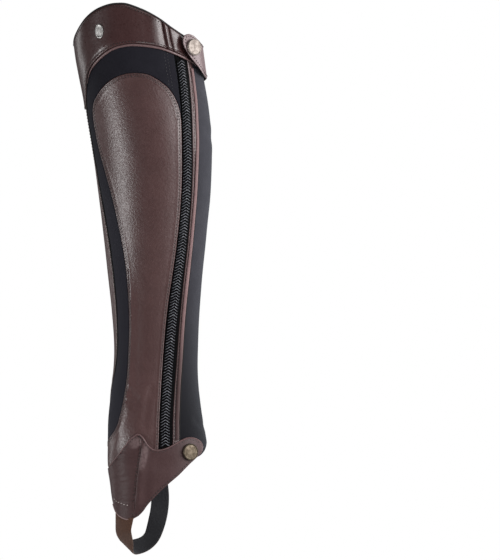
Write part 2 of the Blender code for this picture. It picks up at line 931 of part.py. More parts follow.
def make_flap():
    """The ankle flap, in two pieces sewn to each other."""
    seam_line = trace(FLAP_SEAM)
    wall(
        "flap_front",
        outline(trace(FLAP_FRONT_LOW), back(seam_line), trace(FLAP_FRONT_TOP)),
        at(LAP),
        at(LAP + FLAP_WALL),
        "leather",
    )
    wall(
        "flap_rear",
        outline(trace(FLAP_REAR_LOW), trace(FLAP_REAR_TOP), seam_line),
        at(LAP),
        at(LAP + FLAP_WALL),
        "leather",
    )


def strap_course():
    """The strap's middle line laid flat, as (place, way along) pairs."""
    place = Vector(STRAP_START)
    way = Vector((0.0, -1.0))
    course = [(place.copy(), way.copy())]
    for length, bend in STRAP_COURSE:
        steps = round(length / STRAP_STEP)
        half_bend = Matrix.Rotation(-math.radians(bend) / steps / 2, 2)
        for _ in range(steps):
            way.rotate(half_bend)
            place += way * (length / steps)
            way.rotate(half_bend)
            course.append((place.copy(), way.copy()))
    return course


def strap_place(spot, share):
    """Where a point of the flat strap goes, once it is rolled over at its fold.

    share runs from 0 at its sewn end on the outer side to 1 at the inner side.
    """
    fold = Vector(STRAP_FOLD)
    fold_way = Vector((1.0, -1.0)).normalized()
    past_way = Vector((-1.0, -1.0)).normalized()
    from_fold = spot - fold
    along = from_fold.dot(fold_way)
    past = from_fold.dot(past_way)
    angle = min(max(past / STRAP_ROLL, 0.0), math.pi)
    if past > math.pi * STRAP_ROLL:
        past = -(past - math.pi * STRAP_ROLL)
    elif past > 0.0:
        past = STRAP_ROLL * math.sin(angle)
    seen = fold + fold_way * along + past_way * past
    middle = STRAP_DEPTHS[0] + (STRAP_DEPTHS[1] - STRAP_DEPTHS[0]) * ease(share, 0.0, 1.0)
    free = middle - STRAP_ROLL * math.cos(angle)
    outer = -skin_depth(seen.x, seen.y, OUTER_END_LIFT)
    inner = skin_depth(seen.x, seen.y, INNER_END_LIFT)
    depth = outer + (free - outer) * ease(share, *STRAP_OUTER_HOLD)
    depth += (inner - depth) * ease(share, *STRAP_INNER_HOLD)
    return Vector((seen.x, depth, seen.y))


def make_strap():
    """One ribbon of elastic from the flap's inside to the inner panel's inside."""
    course = strap_course()
    grid = []
    for index, (place, way) in enumerate(course):
        aside = Vector((-way.y, way.x))
        share = index / (len(course) - 1)
        row = []
        for column in range(STRAP_COLUMNS + 1):
            offset = (column / STRAP_COLUMNS - 0.5) * STRAP_WIDTH
            row.append(strap_place(place + aside * offset, share))
        grid.append(row)
    rings = []
    for index, row in enumerate(grid):
        ahead = grid[min(index + 1, len(grid) - 1)]
        behind = grid[max(index - 1, 0)]
        faces = []
        for column, point in enumerate(row):
            along = ahead[column] - behind[column]
            across = row[min(column + 1, STRAP_COLUMNS)] - row[max(column - 1, 0)]
            faces.append((point, along.cross(across).normalized() * (STRAP_WALL / 2)))
        rings.append(
            [point + half for point, half in faces]
            + [point - half for point, half in reversed(faces)]
        )
    tube("foot_strap", rings, "elastic")


# ---------------------------------------------------------------- build

for stale in list(bpy.data.objects):
    bpy.data.objects.remove(stale)

SEAMS = leg_seams()
make_leg(SEAMS)
make_zip(SEAMS)
make_band()
make_trim()
snap("snap_cap_top", TOP_SNAP, tab_face, TOP_SNAP_TILT)
make_flap()
snap("snap_cap_ankle", ANKLE_SNAP, at(LAP + FLAP_WALL))
make_strap()
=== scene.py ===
"""Looks of the half chap: leather, stretch cloth, zip, snaps and elastic round the CAD frame.

Sizes are in mm and angles in degrees until a mesh is made. "turn" is the angle round
the leg: 0 at the shin, 90 at the outer side, 180 at the calf, and -90 at the inner
side. A flat point is a place on the leg's skin, unrolled: (turn in radians x 50, height).
"""

import math

import bpy
import numpy as np
from mathutils import Matrix, Vector
from mathutils.geometry import delaunay_2d_cdt


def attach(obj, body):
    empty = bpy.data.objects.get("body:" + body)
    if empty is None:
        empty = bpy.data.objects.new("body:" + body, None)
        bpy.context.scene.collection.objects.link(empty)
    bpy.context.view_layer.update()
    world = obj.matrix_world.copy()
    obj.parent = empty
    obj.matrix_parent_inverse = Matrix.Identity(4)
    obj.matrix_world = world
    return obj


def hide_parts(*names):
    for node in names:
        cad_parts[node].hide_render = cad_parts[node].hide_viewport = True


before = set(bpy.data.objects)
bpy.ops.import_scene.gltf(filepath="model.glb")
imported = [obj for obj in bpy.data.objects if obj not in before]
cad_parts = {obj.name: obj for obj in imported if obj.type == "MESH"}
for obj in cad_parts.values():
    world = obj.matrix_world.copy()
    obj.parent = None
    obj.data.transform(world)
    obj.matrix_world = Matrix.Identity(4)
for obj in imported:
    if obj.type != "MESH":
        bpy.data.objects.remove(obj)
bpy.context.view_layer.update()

MM = 0.001
UNROLL = 50.0
STEP = 1.3  # along edges and seams
GRID = 2.6  # inside a piece
NUDGE = 0.25  # to each side, where the skin's slope is taken

# ---------------- sizes of the frame, mm

WALL = 1.8
LAP = 0.4
BAND_WALL = 1.4
FLAP_WALL = 1.6
BORDER_WIDTH = 3.9
BORDER_SLOPE = 1.3
BORDER_RISE = 0.38
CHAIN_WIDTH = 9.0
CHAIN_ENDS = (87.5, -287.8)
CHAIN_STEP = 0.7
TOOTH_PITCH = 2.85
FIRST_TOOTH = 1.2
CHAIN_SPARE = 0.6  # bare chain past the last tooth
ZIP_PIPING = (-2.35, LAP + 0.4, 1.98, 1.05)  # centre across and out, half width and height
PIPING_ENDS = (79.0, -281.5)
BINDING_ROW = 1.9
BAND_PIPING = 2.4
BAND_PIPING_TURNS = (25.0, 156.0)
SNAP_RADIUS = 8.2
SNAP_HEIGHT = 2.6
PLATE_WIDTH = 9.0
PLATE_HEIGHT = 13.6
PLATE_WALL = 1.0
PLATE_RADIUS = 62.0
PLATE_CORNERS = 48
PLATE_SQUARENESS = 2.4
STRAP_WIDTH = 17.4
STRAP_WALL = 1.4
STRAP_ROLL = 5.0

# Section of the leg: height, front and back along X, half of the width, squareness, fullness.
SECTIONS = [
    (-375, -39, 53, 37.5, 2.6, 0),
    (-345, -39.8, 53, 38, 2.6, -0.02),
    (-325, -40.8, 53, 38.3, 2.55, -0.03),
    (-305, -43.3, 53, 38.5, 2.5, -0.04),
    (-286, -43.3, 53, 38.5, 2.4, -0.05),
    (-262, -42.9, 48.9, 37.5, 2.3, -0.04),
    (-230, -39.3, 45.2, 35.5, 2.25, -0.02),
    (-195, -37.1, 44.3, 35, 2.2, 0),
    (-155, -39.2, 46, 37.5, 2.15, 0.03),
    (-115, -43.7, 49.6, 42, 2.1, 0.06),
    (-80, -48, 52.9, 46.5, 2.05, 0.09),
    (-40, -53, 56.8, 51, 2.05, 0.11),
    (0, -58.5, 58.2, 54.5, 2.05, 0.12),
    (35, -64.2, 55.8, 55.6, 2.05, 0.11),
    (70, -69.5, 50, 54.8, 2.05, 0.08),
    (90, -73.2, 47.3, 54.4, 2.05, 0.06),
    (107, -75.1, 45.3, 54, 2.05, 0.04),
    (150, -75.6, 42, 53, 2.05, 0.02),
]

# Every table below holds (turn, height) pairs.
LEG_TOP = [
    (-180, 98.5), (-165, 97.5), (-140, 98.5), (-110, 103), (-80, 107), (-50, 107.5), (-25, 104.5),
    (0, 104.8), (16.5, 113), (26, 120.2), (36, 128), (49, 135.4), (62.6, 139.8), (73, 140.9),
    (81.2, 140.3), (95.3, 135.6), (105, 131.3), (115.5, 125.4), (126, 118.2), (137.5, 111.6),
    (150, 106), (165, 100.5), (180, 98.5),
]
BAND_LOW = [
    (-180, 69.5), (-165, 67), (-145, 64.5), (-110, 62.5), (-80, 62.5), (-50, 59.5), (-32, 53.5),
    (-20, 47), (-8, 41), (2, 39.5), (11, 43.5), (18, 52.5), (22.6, 61), (27, 69), (32, 76),
    (37.2, 81.2), (43.9, 86.5), (50.9, 91.5), (58.3, 96), (65, 99.2), (71.4, 101.2), (83.7, 102.9),
    (99.5, 102), (115.2, 99.3), (131.9, 93.4), (147.1, 87.4), (168, 79),
]
SHIN_TOP = 38.0
SHIN_SEAM = [
    (30, 80), (23.5, 66), (17.6, 58), (14, 48), (11.1, 35), (10.4, 17), (11.2, 0), (17, -40),
    (24, -80), (26.4, -115), (25.8, -155), (22, -195), (17, -214), (6.4, -231), (-7, -243),
    (-19, -262), (-28, -284),
]
TAPE_TOP = 128.0
TAPE_UPPER = [(127.7, 78), (127.2, 62), (126.2, 50), (125.1, 39), (123.8, 28)]
TAPE_LOWER = [
    (123.8, 28), (121.6, 0), (120.8, -40), (118.8, -80), (114.5, -115), (107.5, -155),
    (102.3, -195), (99.4, -230), (96.2, -262), (92.2, -286), (90.5, -300),
]
ARCH_SEAM = [
    (123.8, 28), (123.6, 38), (121.8, 47), (119, 54), (115.2, 60), (109.8, 65), (103.2, 69.6),
    (96, 73), (84.1, 74.4), (71.5, 73), (59, 68.5), (47.6, 61.5), (37.1, 52.5), (29.5, 44.5),
    (25.6, 33), (25.4, 17), (27.6, 0), (38, -40), (46.2, -80), (50.3, -115), (50, -155),
    (46.6, -195), (44.6, -230), (37, -262), (29.8, -272), (17, -279), (0, -283), (-14, -284.5),
    (-28, -284),
]
CHAIN_TOP = 134.2
CHAIN_LINE = [
    (134, 92), (133.6, 79), (133, 67), (131.9, 54), (130.4, 40), (129.3, 28), (127.8, 8),
    (127.3, -12), (126.4, -48), (124.7, -87), (120.4, -126), (115, -165), (110.7, -204),
    (107.2, -243), (103.9, -267), (101.3, -288), (99.8, -300),
]
BINDING_TOP = 143.0
BINDING_SEAM = [
    (142.8, 87), (142.2, 70), (139.5, 50), (137, 30), (134.8, 5), (134, -40), (133.2, -87),
    (129.9, -126), (126.7, -165), (123.4, -204), (118.9, -240), (115.3, -265), (111.8, -286),
    (109.8, -300),
]
CALF_TOP = 149.5
CALF_SEAM = [
    (149.4, 87), (149.2, 70), (147, 48), (144.4, 29), (142.8, 9), (141.4, -10), (140.5, -48),
    (139.9, -87), (137.6, -126), (134.8, -165), (132.2, -204), (127.4, -243), (123.8, -267),
    (120.2, -288), (118.5, -300),
]
INNER_TOP = 205.0
INNER_SEAM = [(204.5, 40), (204, -60), (203, -150), (203, -225), (203, -286)]
INNER_HEM = [
    (-157, -286), (-145, -296), (-130, -307), (-115, -318), (-100, -326.5), (-85, -331),
    (-70, -330.5), (-58, -325), (-48, -316), (-38, -306.5), (-26, -300),
]
INSTEP_SEAM = [(-28, -284), (-26, -300)]
OUTER_HEM = [
    (-26, -300), (-10, -305), (6, -308.5), (20, -311), (34, -309), (50, -303), (68, -300),
    (90.5, -300),
]
BACK_HEM = [
    (118.5, -300), (135, -300), (150, -297), (160, -293), (170, -287.5), (178, -284),
    (190, -283.5), (203, -286),
]
BAND_FRONT_TURN = -20.0
BAND_INNER_TURN = -165.0
RIBS = [(117.0, 120.6), (123.7, 126.8)]  # turns at the band's top and lower edge
BAND_END = (168.0, 168.0)
TAB_END = [
    (-180, 69.5), (-190, 70.3), (-199.6, 72.2), (-206.5, 75.7), (-211.4, 79.8), (-215.9, 84.6),
    (-219.4, 89.2), (-222.1, 93.5), (-224.2, 97.7), (-225.3, 102), (-225.1, 106.4),
    (-223.6, 109.9), (-220.5, 111.6), (-217, 111.9), (-212.5, 110.4), (-205.4, 107),
    (-196.7, 104.6), (-188, 103.2), (-180, 102.5),
]
TAB_LIFT = (-160.0, -187.0)
TAB_RISE = 4.5
TAB_SPRING = (-188.0, -214.0)
FLAP_SEAM = [(67.2, -276.6), (68.4, -288), (65.2, -305), (61, -320), (57.6, -339), (54.9, -357.6)]
FLAP_FRONT_TOP = [
    (67.2, -276.6), (63.5, -276.2), (59.3, -278), (53.8, -281), (48.4, -286), (41.6, -293),
    (34, -300), (22.5, -307), (3, -309.5),
]
FLAP_FRONT_LOW = [
    (3, -309.5), (9, -320), (14.2, -329), (19.8, -337), (25.5, -345), (31.5, -352), (40.7, -356.8),
    (48.5, -358.3), (54.9, -357.6),
]
FLAP_REAR_LOW = [
    (54.9, -357.6), (61.2, -355), (67.8, -350.4), (73.3, -345), (80.3, -339.5), (92, -331.5),
    (106.2, -323), (119.4, -315), (132.4, -305.5), (146.8, -295.5),
]
FLAP_REAR_TOP = [
    (146.8, -295.5), (151.5, -291), (152.6, -287), (149.9, -283.6), (144.2, -281), (137.4, -279.6),
    (130.6, -280), (123.8, -282), (115.6, -285.2), (107.4, -288.4), (99.1, -290.6), (90.6, -291.3),
    (83.5, -290.6), (78.1, -287.6), (74.3, -284), (70.8, -279.6), (67.2, -276.6),
]
PLATE_CENTRE = (52.3, 115.0)
TOP_SNAP = (-216.0, 98.2)
TOP_SNAP_TILT = 11.0
ANKLE_SNAP = (133.5, -293.0)

STRAP_START = (-26.6, -333.0)
STRAP_FOLD = (-30.0, -372.9)
STRAP_COURSE = [(41.0, 0.0), (27.0, 15.0), (18.5, 51.0), (50.0, 35.0)]  # length, bend
STRAP_LEAN = 31.0  # how far it tips, edge on, where it turns over
STRAP_STEP = 1.4
STRAP_COLUMNS = 14
STRAP_DEPTHS = (-28.0, 27.0)
OUTER_END_LIFT = -0.9
INNER_END_LIFT = -3.1
STRAP_EDGE = 0.45  # how thick its edges are, as a share of its wall
# Shares of its length between which it leaves the outer side, reaches the inner side, starts
# to tip, stands up again, and moves the line that it tips round from one edge to the other.
STRAP_OUTER_HOLD = (0.18, 0.42)
STRAP_INNER_HOLD = (0.72, 0.92)
STRAP_TIPS = (0.12, 0.27)
STRAP_RIGHTS = (0.80, 0.55)
STRAP_HINGE = (0.25, 0.38)


# ---------------- curves

def smooth(rows, at):
    """Smooth curves through rows of (place, value, ...), read at an array of places."""
    rows = np.asarray(rows, float)
    places = rows[:, 0]
    values = rows[:, 1:]
    last = len(places) - 1
    at = np.clip(np.asarray(at, float), places[0], places[last])
    here = np.clip(np.searchsorted(places, at, side="right") - 1, 0, last - 1)
    end = here + 1
    before = np.maximum(here - 1, 0)
    after = np.minimum(here + 2, last)
    span = (places[end] - places[here])[..., None]
    share = (at - places[here])[..., None] / span
    leaving = (values[end] - values[before]) / (places[end] - places[before])[..., None] * span
    arriving = (values[after] - values[here]) / (places[after] - places[here])[..., None] * span
    square = share**2
    cube = share**3
    return (
        (2 * cube - 3 * square + 1) * values[here]
        + (cube - 2 * square + share) * leaving
        + (3 * square - 2 * cube) * values[end]
        + (cube - square) * arriving
    )


def ease(value, start, end):
    """0 at start, 1 at end, with soft ends."""
    share = np.clip((np.asarray(value, float) - start) / (end - start), 0.0, 1.0)
    return share * share * (3.0 - 2.0 * share)


def bump(value, middle, reach):
    """1 at the middle, 0 from the reach on."""
    return ease(np.abs(np.asarray(value, float) - middle), reach, 0.0)


def flat(rows):
    """(turn, height) rows laid out flat."""
    rows = np.asarray(rows, float)
    return np.stack([np.radians(rows[..., 0]) * UNROLL, rows[..., 1]], -1)


def turns_of(points):
    """The turns, in degrees, of flat points."""
    return np.degrees(points[..., 0] / UNROLL)


def unit(vectors):
    """Vectors, each made one long."""
    return vectors / np.linalg.norm(vectors, axis=-1)[..., None]


def circle(corners):
    """The angles of even corners round a circle."""
    return np.linspace(0.0, math.tau, corners, endpoint=False)


def read_at(values, along, places):
    """Columns of values that are known along a path, read at places on it."""
    return np.stack([np.interp(places, along, column) for column in values.T], -1)


def lengths_of(points):
    """How far along a path each of its points is."""
    return np.concatenate([[0.0], np.cumsum(np.linalg.norm(np.diff(points, axis=0), axis=1))])


def trace(rows, step=STEP):
    """Points at even steps on a smooth curve through rows of (turn, height)."""
    corners = flat(rows)
    along = lengths_of(corners)
    count = max(round(along[-1] / step), 1)
    return smooth(np.column_stack([along, corners]), np.linspace(0.0, along[-1], count + 1))


def leg_top(turn):
    """The height of the leg's top edge."""
    turn = np.asarray(turn, float)
    return smooth(LEG_TOP, np.where(turn <= 180.0, turn, turn - 360.0))[..., 0]


def band_low(turn):
    """The height of the band's lower edge."""
    return smooth(BAND_LOW, turn)[..., 0]


def level(height_at, first, last):
    """Points along a height function, from one turn to another."""
    count = max(round(math.radians(abs(last - first)) * UNROLL / STEP), 1)
    turns = np.linspace(first, last, count + 1)
    return flat(np.column_stack([turns, height_at(turns)]))


def seam(top_turn, rows):
    """A seam that starts at the leg's top edge."""
    return trace([(top_turn, float(leg_top(top_turn)))] + rows)


def shifted(points, turns):
    """Flat points moved round the leg."""
    return points + flat((turns, 0.0))


def stretch_of(points, top, bottom):
    """The part of a path that runs down from one height to another."""
    inner = points[(points[:, 1] < top) & (points[:, 1] > bottom)]
    ends = [
        [np.interp(-height, -points[:, 1], points[:, 0]), height] for height in (top, bottom)
    ]
    return np.vstack([ends[0], inner, ends[1]])


def stretch_above(points, low):
    """The part of a path over a height."""
    return points[points[:, 1] > low]


def outline(*runs):
    """One closed loop from runs that each start where the one before ends."""
    return np.vstack([run[:-1] for run in runs])


def resampled(path, step):
    """A flat path with even steps."""
    along = lengths_of(path)
    count = max(round(along[-1] / step), 1)
    return read_at(path, along, np.linspace(0.0, along[-1], count + 1))


def beside(path, distance):
    """A path moved sideways: to the left of its way for a positive distance."""
    way = unit(np.gradient(path, axis=0))
    return path + np.column_stack([-way[:, 1], way[:, 0]]) * distance


# ---------------- the leg's skin

def skin_point(turn, height):
    """Points of the leg's outer surface, in mm."""
    front, rear, half_width, squareness, fullness = np.moveaxis(smooth(SECTIONS, height), -1, 0)
    centre = (front + rear) / 2
    half_length = (rear - front) / 2
    cosine = np.cos(np.radians(turn))
    sine = np.sin(np.radians(turn))
    reach = (
        np.abs(cosine / half_length) ** squareness + np.abs(sine / half_width) ** squareness
    ) ** (-1.0 / squareness)
    return np.stack(
        [
            centre - reach * cosine,
            -reach * sine * (1.0 - fullness * cosine),
            np.broadcast_to(height, reach.shape),
        ],
        -1,
    )


def skin_frame(turn, height):
    """Points of the leg's surface, and the way out from it at each."""
    turn = np.asarray(turn, float)
    height = np.asarray(height, float)
    round_way = skin_point(turn + NUDGE, height) - skin_point(turn - NUDGE, height)
    up_way = skin_point(turn, height + NUDGE) - skin_point(turn, height - NUDGE)
    return skin_point(turn, height), unit(np.cross(round_way, up_way))


def skin(points, lift):
    """Flat points put back on the leg, lifted off its surface."""
    place, out = skin_frame(turns_of(points), points[..., 1])
    return place + out * np.asarray(lift, float)[..., None]


def skin_depth(x, height, lift):
    """How far from the leg's middle plane its outer side is, at places along X."""
    low = np.zeros(np.shape(x))
    high = np.full(np.shape(x), 180.0)
    for _ in range(24):
        turn = (low + high) / 2
        place, out = skin_frame(turn, height)
        place = place + out * lift
        short = place[..., 0] < x
        low = np.where(short, turn, low)
        high = np.where(short, high, turn)
    return -place[..., 1]


# ---------------- flat geometry

def inset(loop, distance):
    """A closed loop, moved inwards. The loop runs anticlockwise."""
    before = unit(loop - np.roll(loop, 1, axis=0))
    after = unit(np.roll(loop, -1, axis=0) - loop)
    left_before = np.column_stack([-before[:, 1], before[:, 0]])
    left_after = np.column_stack([-after[:, 1], after[:, 0]])
    spread = np.maximum(1.0 + (left_before * left_after).sum(1), 0.35)
    return loop + (left_before + left_after) * (distance / spread)[:, None]


def in_chunks(points, work, size=1500):
    """Work done on a long list of points in short runs, to save memory."""
    return np.concatenate([work(points[at:at + size]) for at in range(0, len(points), size)])


def inside(points, loop):
    """Which flat points are inside a closed loop."""
    first = loop
    second = np.roll(loop, -1, axis=0)
    rise = second[:, 1] - first[:, 1]
    rise = np.where(rise == 0.0, 1e-12, rise)
    run = second[:, 0] - first[:, 0]

    def work(some):
        x = some[:, :1]
        y = some[:, 1:]
        across = (first[:, 1] > y) != (second[:, 1] > y)
        left = x < first[:, 0] + (y - first[:, 1]) / rise * run
        return (across & left).sum(1) % 2 == 1

    return in_chunks(points, work)


def distance_to(points, path, closed=False):
    """How far flat points are from a path."""
    first = path if closed else path[:-1]
    side = (np.roll(path, -1, axis=0) if closed else path[1:]) - first
    square = np.maximum((side**2).sum(1), 1e-12)

    def work(some):
        off = some[:, None, :] - first
        share = np.clip((off * side).sum(2) / square, 0.0, 1.0)
        off -= share[..., None] * side
        return np.sqrt((off**2).sum(2).min(1))

    return in_chunks(points, work)


def grid_points(loop, clear, grid):
    """Staggered rows of points inside a loop, some way off its edge."""
    low = loop.min(0)
    high = loop.max(0)
    rows = np.arange(math.ceil(low[1] / grid), math.floor(high[1] / grid) + 1)
    columns = np.arange(math.floor(low[0] / grid), math.ceil(high[0] / grid) + 1)
    column, row = np.meshgrid(columns, rows)
    points = np.column_stack([((column + 0.5 * (row % 2)) * grid).ravel(), (row * grid).ravel()])
    points = points[inside(points, loop)]
    return points[distance_to(points, loop, True) > clear]


# ---------------- meshes

def placed(name, data):
    """A new object in the scene."""
    made = bpy.data.objects.new(name, data)
    bpy.context.scene.collection.objects.link(made)
    return made


def make_object(name, slot, points, faces, materials, slots=None, facts=None, sharp=50.0):
    """An object from points in mm and faces; facts are extra numbers for its materials."""
    mesh = bpy.data.meshes.new(name)
    mesh.from_pydata((np.asarray(points) * MM).tolist(), [], faces)
    for made in materials:
        mesh.materials.append(made)
    if slots is not None:
        mesh.polygons.foreach_set("material_index", np.asarray(slots, np.int32))
    if facts is not None:
        layer = mesh.attributes.new("cloth", "FLOAT_VECTOR", "POINT")
        layer.data.foreach_set("vector", np.asarray(facts, np.float32).ravel())
    mesh.validate()
    mesh.shade_smooth()
    mesh.set_sharp_from_angle(angle=math.radians(sharp))
    made = placed(name, mesh)
    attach(made, "root")
    return made


def joined(parts):
    """Several (points, faces) as one."""
    points = []
    faces = []
    count = 0
    for some_points, some_faces in parts:
        points.append(some_points)
        faces.extend(tuple(corner + count for corner in face) for face in some_faces)
        count += len(some_points)
    return np.vstack(points), faces


STRIP_SHARE = 0.45  # a piece that fills less of its box is a strip, measured along itself
STRIP_BOW = 0.0102  # m, the least width of a strip's box, as strips are cut with a bow


def cloth_size(loop):
    """The cut of a piece: its width, length and area in metres."""
    middle = loop.mean(0)
    turns = turns_of(loop)
    nudge = 0.5
    around = skin_point(turns + nudge, loop[:, 1]) - skin_point(turns - nudge, loop[:, 1])
    true = np.linalg.norm(around, axis=1) / math.radians(2 * nudge) / UNROLL
    opened = np.column_stack([(loop[:, 0] - middle[0]) * true.mean(), loop[:, 1]])
    size = np.ptp(opened, axis=0) * MM
    after = np.roll(opened, -1, axis=0)
    area = abs((opened[:, 0] * after[:, 1] - after[:, 0] * opened[:, 1]).sum()) / 2 * MM * MM
    if area < STRIP_SHARE * size[0] * size[1]:
        length = np.linalg.norm(after - opened, axis=1).sum() / 2 * MM
        size = (area / length, length)
    return [max(size[0], STRIP_BOW), size[1], area]


EDGE_ROLL = [(0.0, -0.5), (0.35, -0.16), (0.9, 0.0)]  # distance from the edge, fall


def outline_mesh(loops, grid):
    """Flat points and triangles inside the first loop, with lines along them all."""
    points = np.vstack(loops + [grid_points(loops[-1], grid * 0.45, grid)])
    lines = []
    first = 0
    for line in loops:
        count = len(line)
        lines.extend((first + at, first + (at + 1) % count) for at in range(count))
        first += count
    points, _, triangles, *_ = delaunay_2d_cdt([Vector(p) for p in points], lines, [], 0, 1e-5)
    points = np.array([tuple(point) for point in points])
    triangles = np.array([tuple(triangle) for triangle in triangles])
    triangles = triangles[inside(points[triangles].mean(1), loops[0])]
    used, triangles = np.unique(triangles, return_inverse=True)
    return points[used], triangles.reshape(-1, 3)


def panel(name, slot, loop, outer, inner, materials, folds=(), grid=GRID, gap=0.06, roll=1.0):
    """A piece of cloth: a flat outline put round the leg, with a thickness.

    outer and inner give the height of its two faces over the leg's surface at flat
    points, and folds are the distances from its edge at which it has a line to bend
    along. materials are those of its face, its lining and its cut edge. gap is how far
    it stays inside its outline, and roll how much its edge is rounded off.
    """
    depths = [depth for depth, _ in EDGE_ROLL]
    loops = [inset(loop, gap + depth) for depth in depths + list(folds)]
    points, triangles = outline_mesh(loops, grid)
    inward = distance_to(points, loops[0], True)
    fall = np.interp(inward, depths, [drop for _, drop in EDGE_ROLL]) * roll
    spots = np.vstack([skin(points, outer(points) + fall), skin(points, inner(points))])
    count = len(points)
    sides = {}
    for tri in triangles.tolist():
        for at in range(3):
            sides[(tri[at], tri[(at + 1) % 3])] = True
    rim = [(b, a, a + count, b + count) for a, b in sides if (b, a) not in sides]
    faces = triangles.tolist() + (triangles[:, ::-1] + count).tolist() + rim
    slots = [0] * len(triangles) + [1] * len(triangles) + [2] * len(rim)
    facts = np.column_stack([np.tile(points, (2, 1)), np.tile(inward, 2)])
    made = make_object(name, slot, spots, faces, materials, slots, facts)
    made["flat"] = cloth_size(loop)
    return made


def rings_to_faces(count, size, closed=False):
    """Faces of a tube of rings, with caps unless it closes on itself."""
    faces = []
    for index in range(count if closed else count - 1):
        this = index * size
        following = (index + 1) % count * size
        for corner in range(size):
            near = (corner + 1) % size
            faces.append((this + corner, this + near, following + near, following + corner))
    if not closed:
        faces.append(tuple(range(size))[::-1])
        faces.append(tuple(range((count - 1) * size, count * size)))
    return faces


def path_frames(path, closed=False):
    """Places of a flat path on the leg, with the ways along, across and out at each."""
    place, out = skin_frame(turns_of(path), path[:, 1])
    if closed:
        along = unit(np.roll(place, -1, axis=0) - np.roll(place, 1, axis=0))
    else:
        along = unit(np.gradient(place, axis=0))
    return place, along, unit(np.cross(out, along)), out


def cord_points(path, profile, closed=False, shrink=None):
    """Rings of (across, out) points along a flat path, and its faces."""
    place, _, across, out = path_frames(path, closed)
    profile = np.asarray(profile, float)
    if shrink is None:
        shrink = np.ones(len(path))
    middle = profile.mean(0)
    shape = middle + (profile - middle) * shrink[:, None, None]
    rings = place[:, None] + across[:, None] * shape[..., :1] + out[:, None] * shape[..., 1:]
    return rings.reshape(-1, 3), rings_to_faces(len(path), len(profile), closed)


def round_profile(centre_across, centre_out, half_across, half_out, corners):
    """The oval section of a cord, as (across, out) points."""
    angles = circle(corners)
    across = centre_across + half_across * np.cos(angles)
    return np.column_stack([across, centre_out + half_out * np.sin(angles)])


# ---------------- materials

# Noise is counted in cells for each metre, and the depths of bumps are in mm.

def join(tree, socket, value):
    """Put a number, a colour or another node's output on a socket."""
    if isinstance(value, bpy.types.NodeSocket):
        tree.links.new(value, socket)
    elif isinstance(value, tuple):
        socket.default_value = (*value, 1.0)
    else:
        socket.default_value = value


def feed(tree, made, **values):
    """Put values on a node's inputs; an underscore stands for a space in a name."""
    for name, value in values.items():
        join(tree, made.inputs[name.replace("_", " ")], value)


def new_material(name, base, roughness, metallic=0.0):
    """A material, its node tree and its shader."""
    made = bpy.data.materials.new(name)
    made.use_nodes = True
    tree = made.node_tree
    shader = tree.nodes["Principled BSDF"]
    feed(tree, shader, Base_Color=base, Roughness=roughness, Metallic=metallic)
    return made, tree, shader


def node(tree, kind, **settings):
    """A node with some of its properties and inputs set."""
    made = tree.nodes.new(kind)
    for name, value in settings.items():
        if hasattr(made, name):
            setattr(made, name, value)
        else:
            feed(tree, made, **{name: value})
    return made


def noise(tree, place, scale, detail=3.0, roughness=0.55):
    """Soft clouds."""
    made = node(
        tree, "ShaderNodeTexNoise", Vector=place, Scale=scale, Detail=detail, Roughness=roughness
    )
    return made.outputs["Fac"]


def parts_of(tree, vector):
    """The three numbers of a vector."""
    return node(tree, "ShaderNodeSeparateXYZ", Vector=vector).outputs


def math_node(tree, operation, *values):
    """A sum, product or other function of numbers."""
    made = node(tree, "ShaderNodeMath", operation=operation)
    for socket, value in zip(made.inputs, values):
        join(tree, socket, value)
    return made.outputs[0]


def remap(tree, value, low, high, to_low, to_high):
    """A value turned from one range into another, with soft ends."""
    made = node(
        tree,
        "ShaderNodeMapRange",
        interpolation_type="SMOOTHSTEP",
        Value=value,
        From_Min=low,
        From_Max=high,
        To_Min=to_low,
        To_Max=to_high,
    )
    return made.outputs["Result"]


def mix_colour(tree, share, first, second):
    """A colour between two others."""
    made = node(tree, "ShaderNodeMix", data_type="RGBA", Factor=share)
    join(tree, made.inputs[6], first)
    join(tree, made.inputs[7], second)
    return made.outputs[2]


def shade(tree, value, low, high, first, second):
    """A colour that turns from the first to the second as a value grows from low to high."""
    return mix_colour(tree, remap(tree, value, low, high, 0.0, 1.0), first, second)


def add_bumps(tree, shader, *layers):
    """Bump maps on top of each other: (height, depth) pairs."""
    below = {}
    for height, depth in layers:
        made = node(
            tree, "ShaderNodeBump", Strength=1.0, Distance=depth * MM, Height=height, **below
        )
        below = {"Normal": made.outputs["Normal"]}
    feed(tree, shader, **below)


def place_of(tree):
    """Where a point is, in metres."""
    return node(tree, "ShaderNodeTexCoord").outputs["Object"]


def cloth_facts(tree):
    """Across, along and distance from the edge, in mm, of a piece of cloth."""
    read = node(tree, "ShaderNodeAttribute", attribute_name="cloth")
    return parts_of(tree, read.outputs["Vector"])


def ribs_of(tree, way, pitch):
    """Even ribs, a pitch apart in mm."""
    return math_node(tree, "SINE", math_node(tree, "MULTIPLY", way, math.tau / pitch))


# Pale colour painted onto the flap as patches of highlight.
PAINTED_HIGHLIGHT_COLOUR = (0.135, 0.092, 0.094)
TAB_HIGHLIGHT_END = (-158.0, -95.0)  # mm round the leg, where the tab's painted highlight turns into the band's colour
CORD_FADES = (-0.235, -0.140)  # m up the leg, where the cord's painted highlight turns into its own darker colour
BACK_FADES = (-285.0, -90.0)  # mm up the leg, where the back darkens towards the foot: painted shade
ARCH_FADES = (-70.0, 20.0)  # mm up the leg, where the arch and the strip under it turn lighter towards the foot
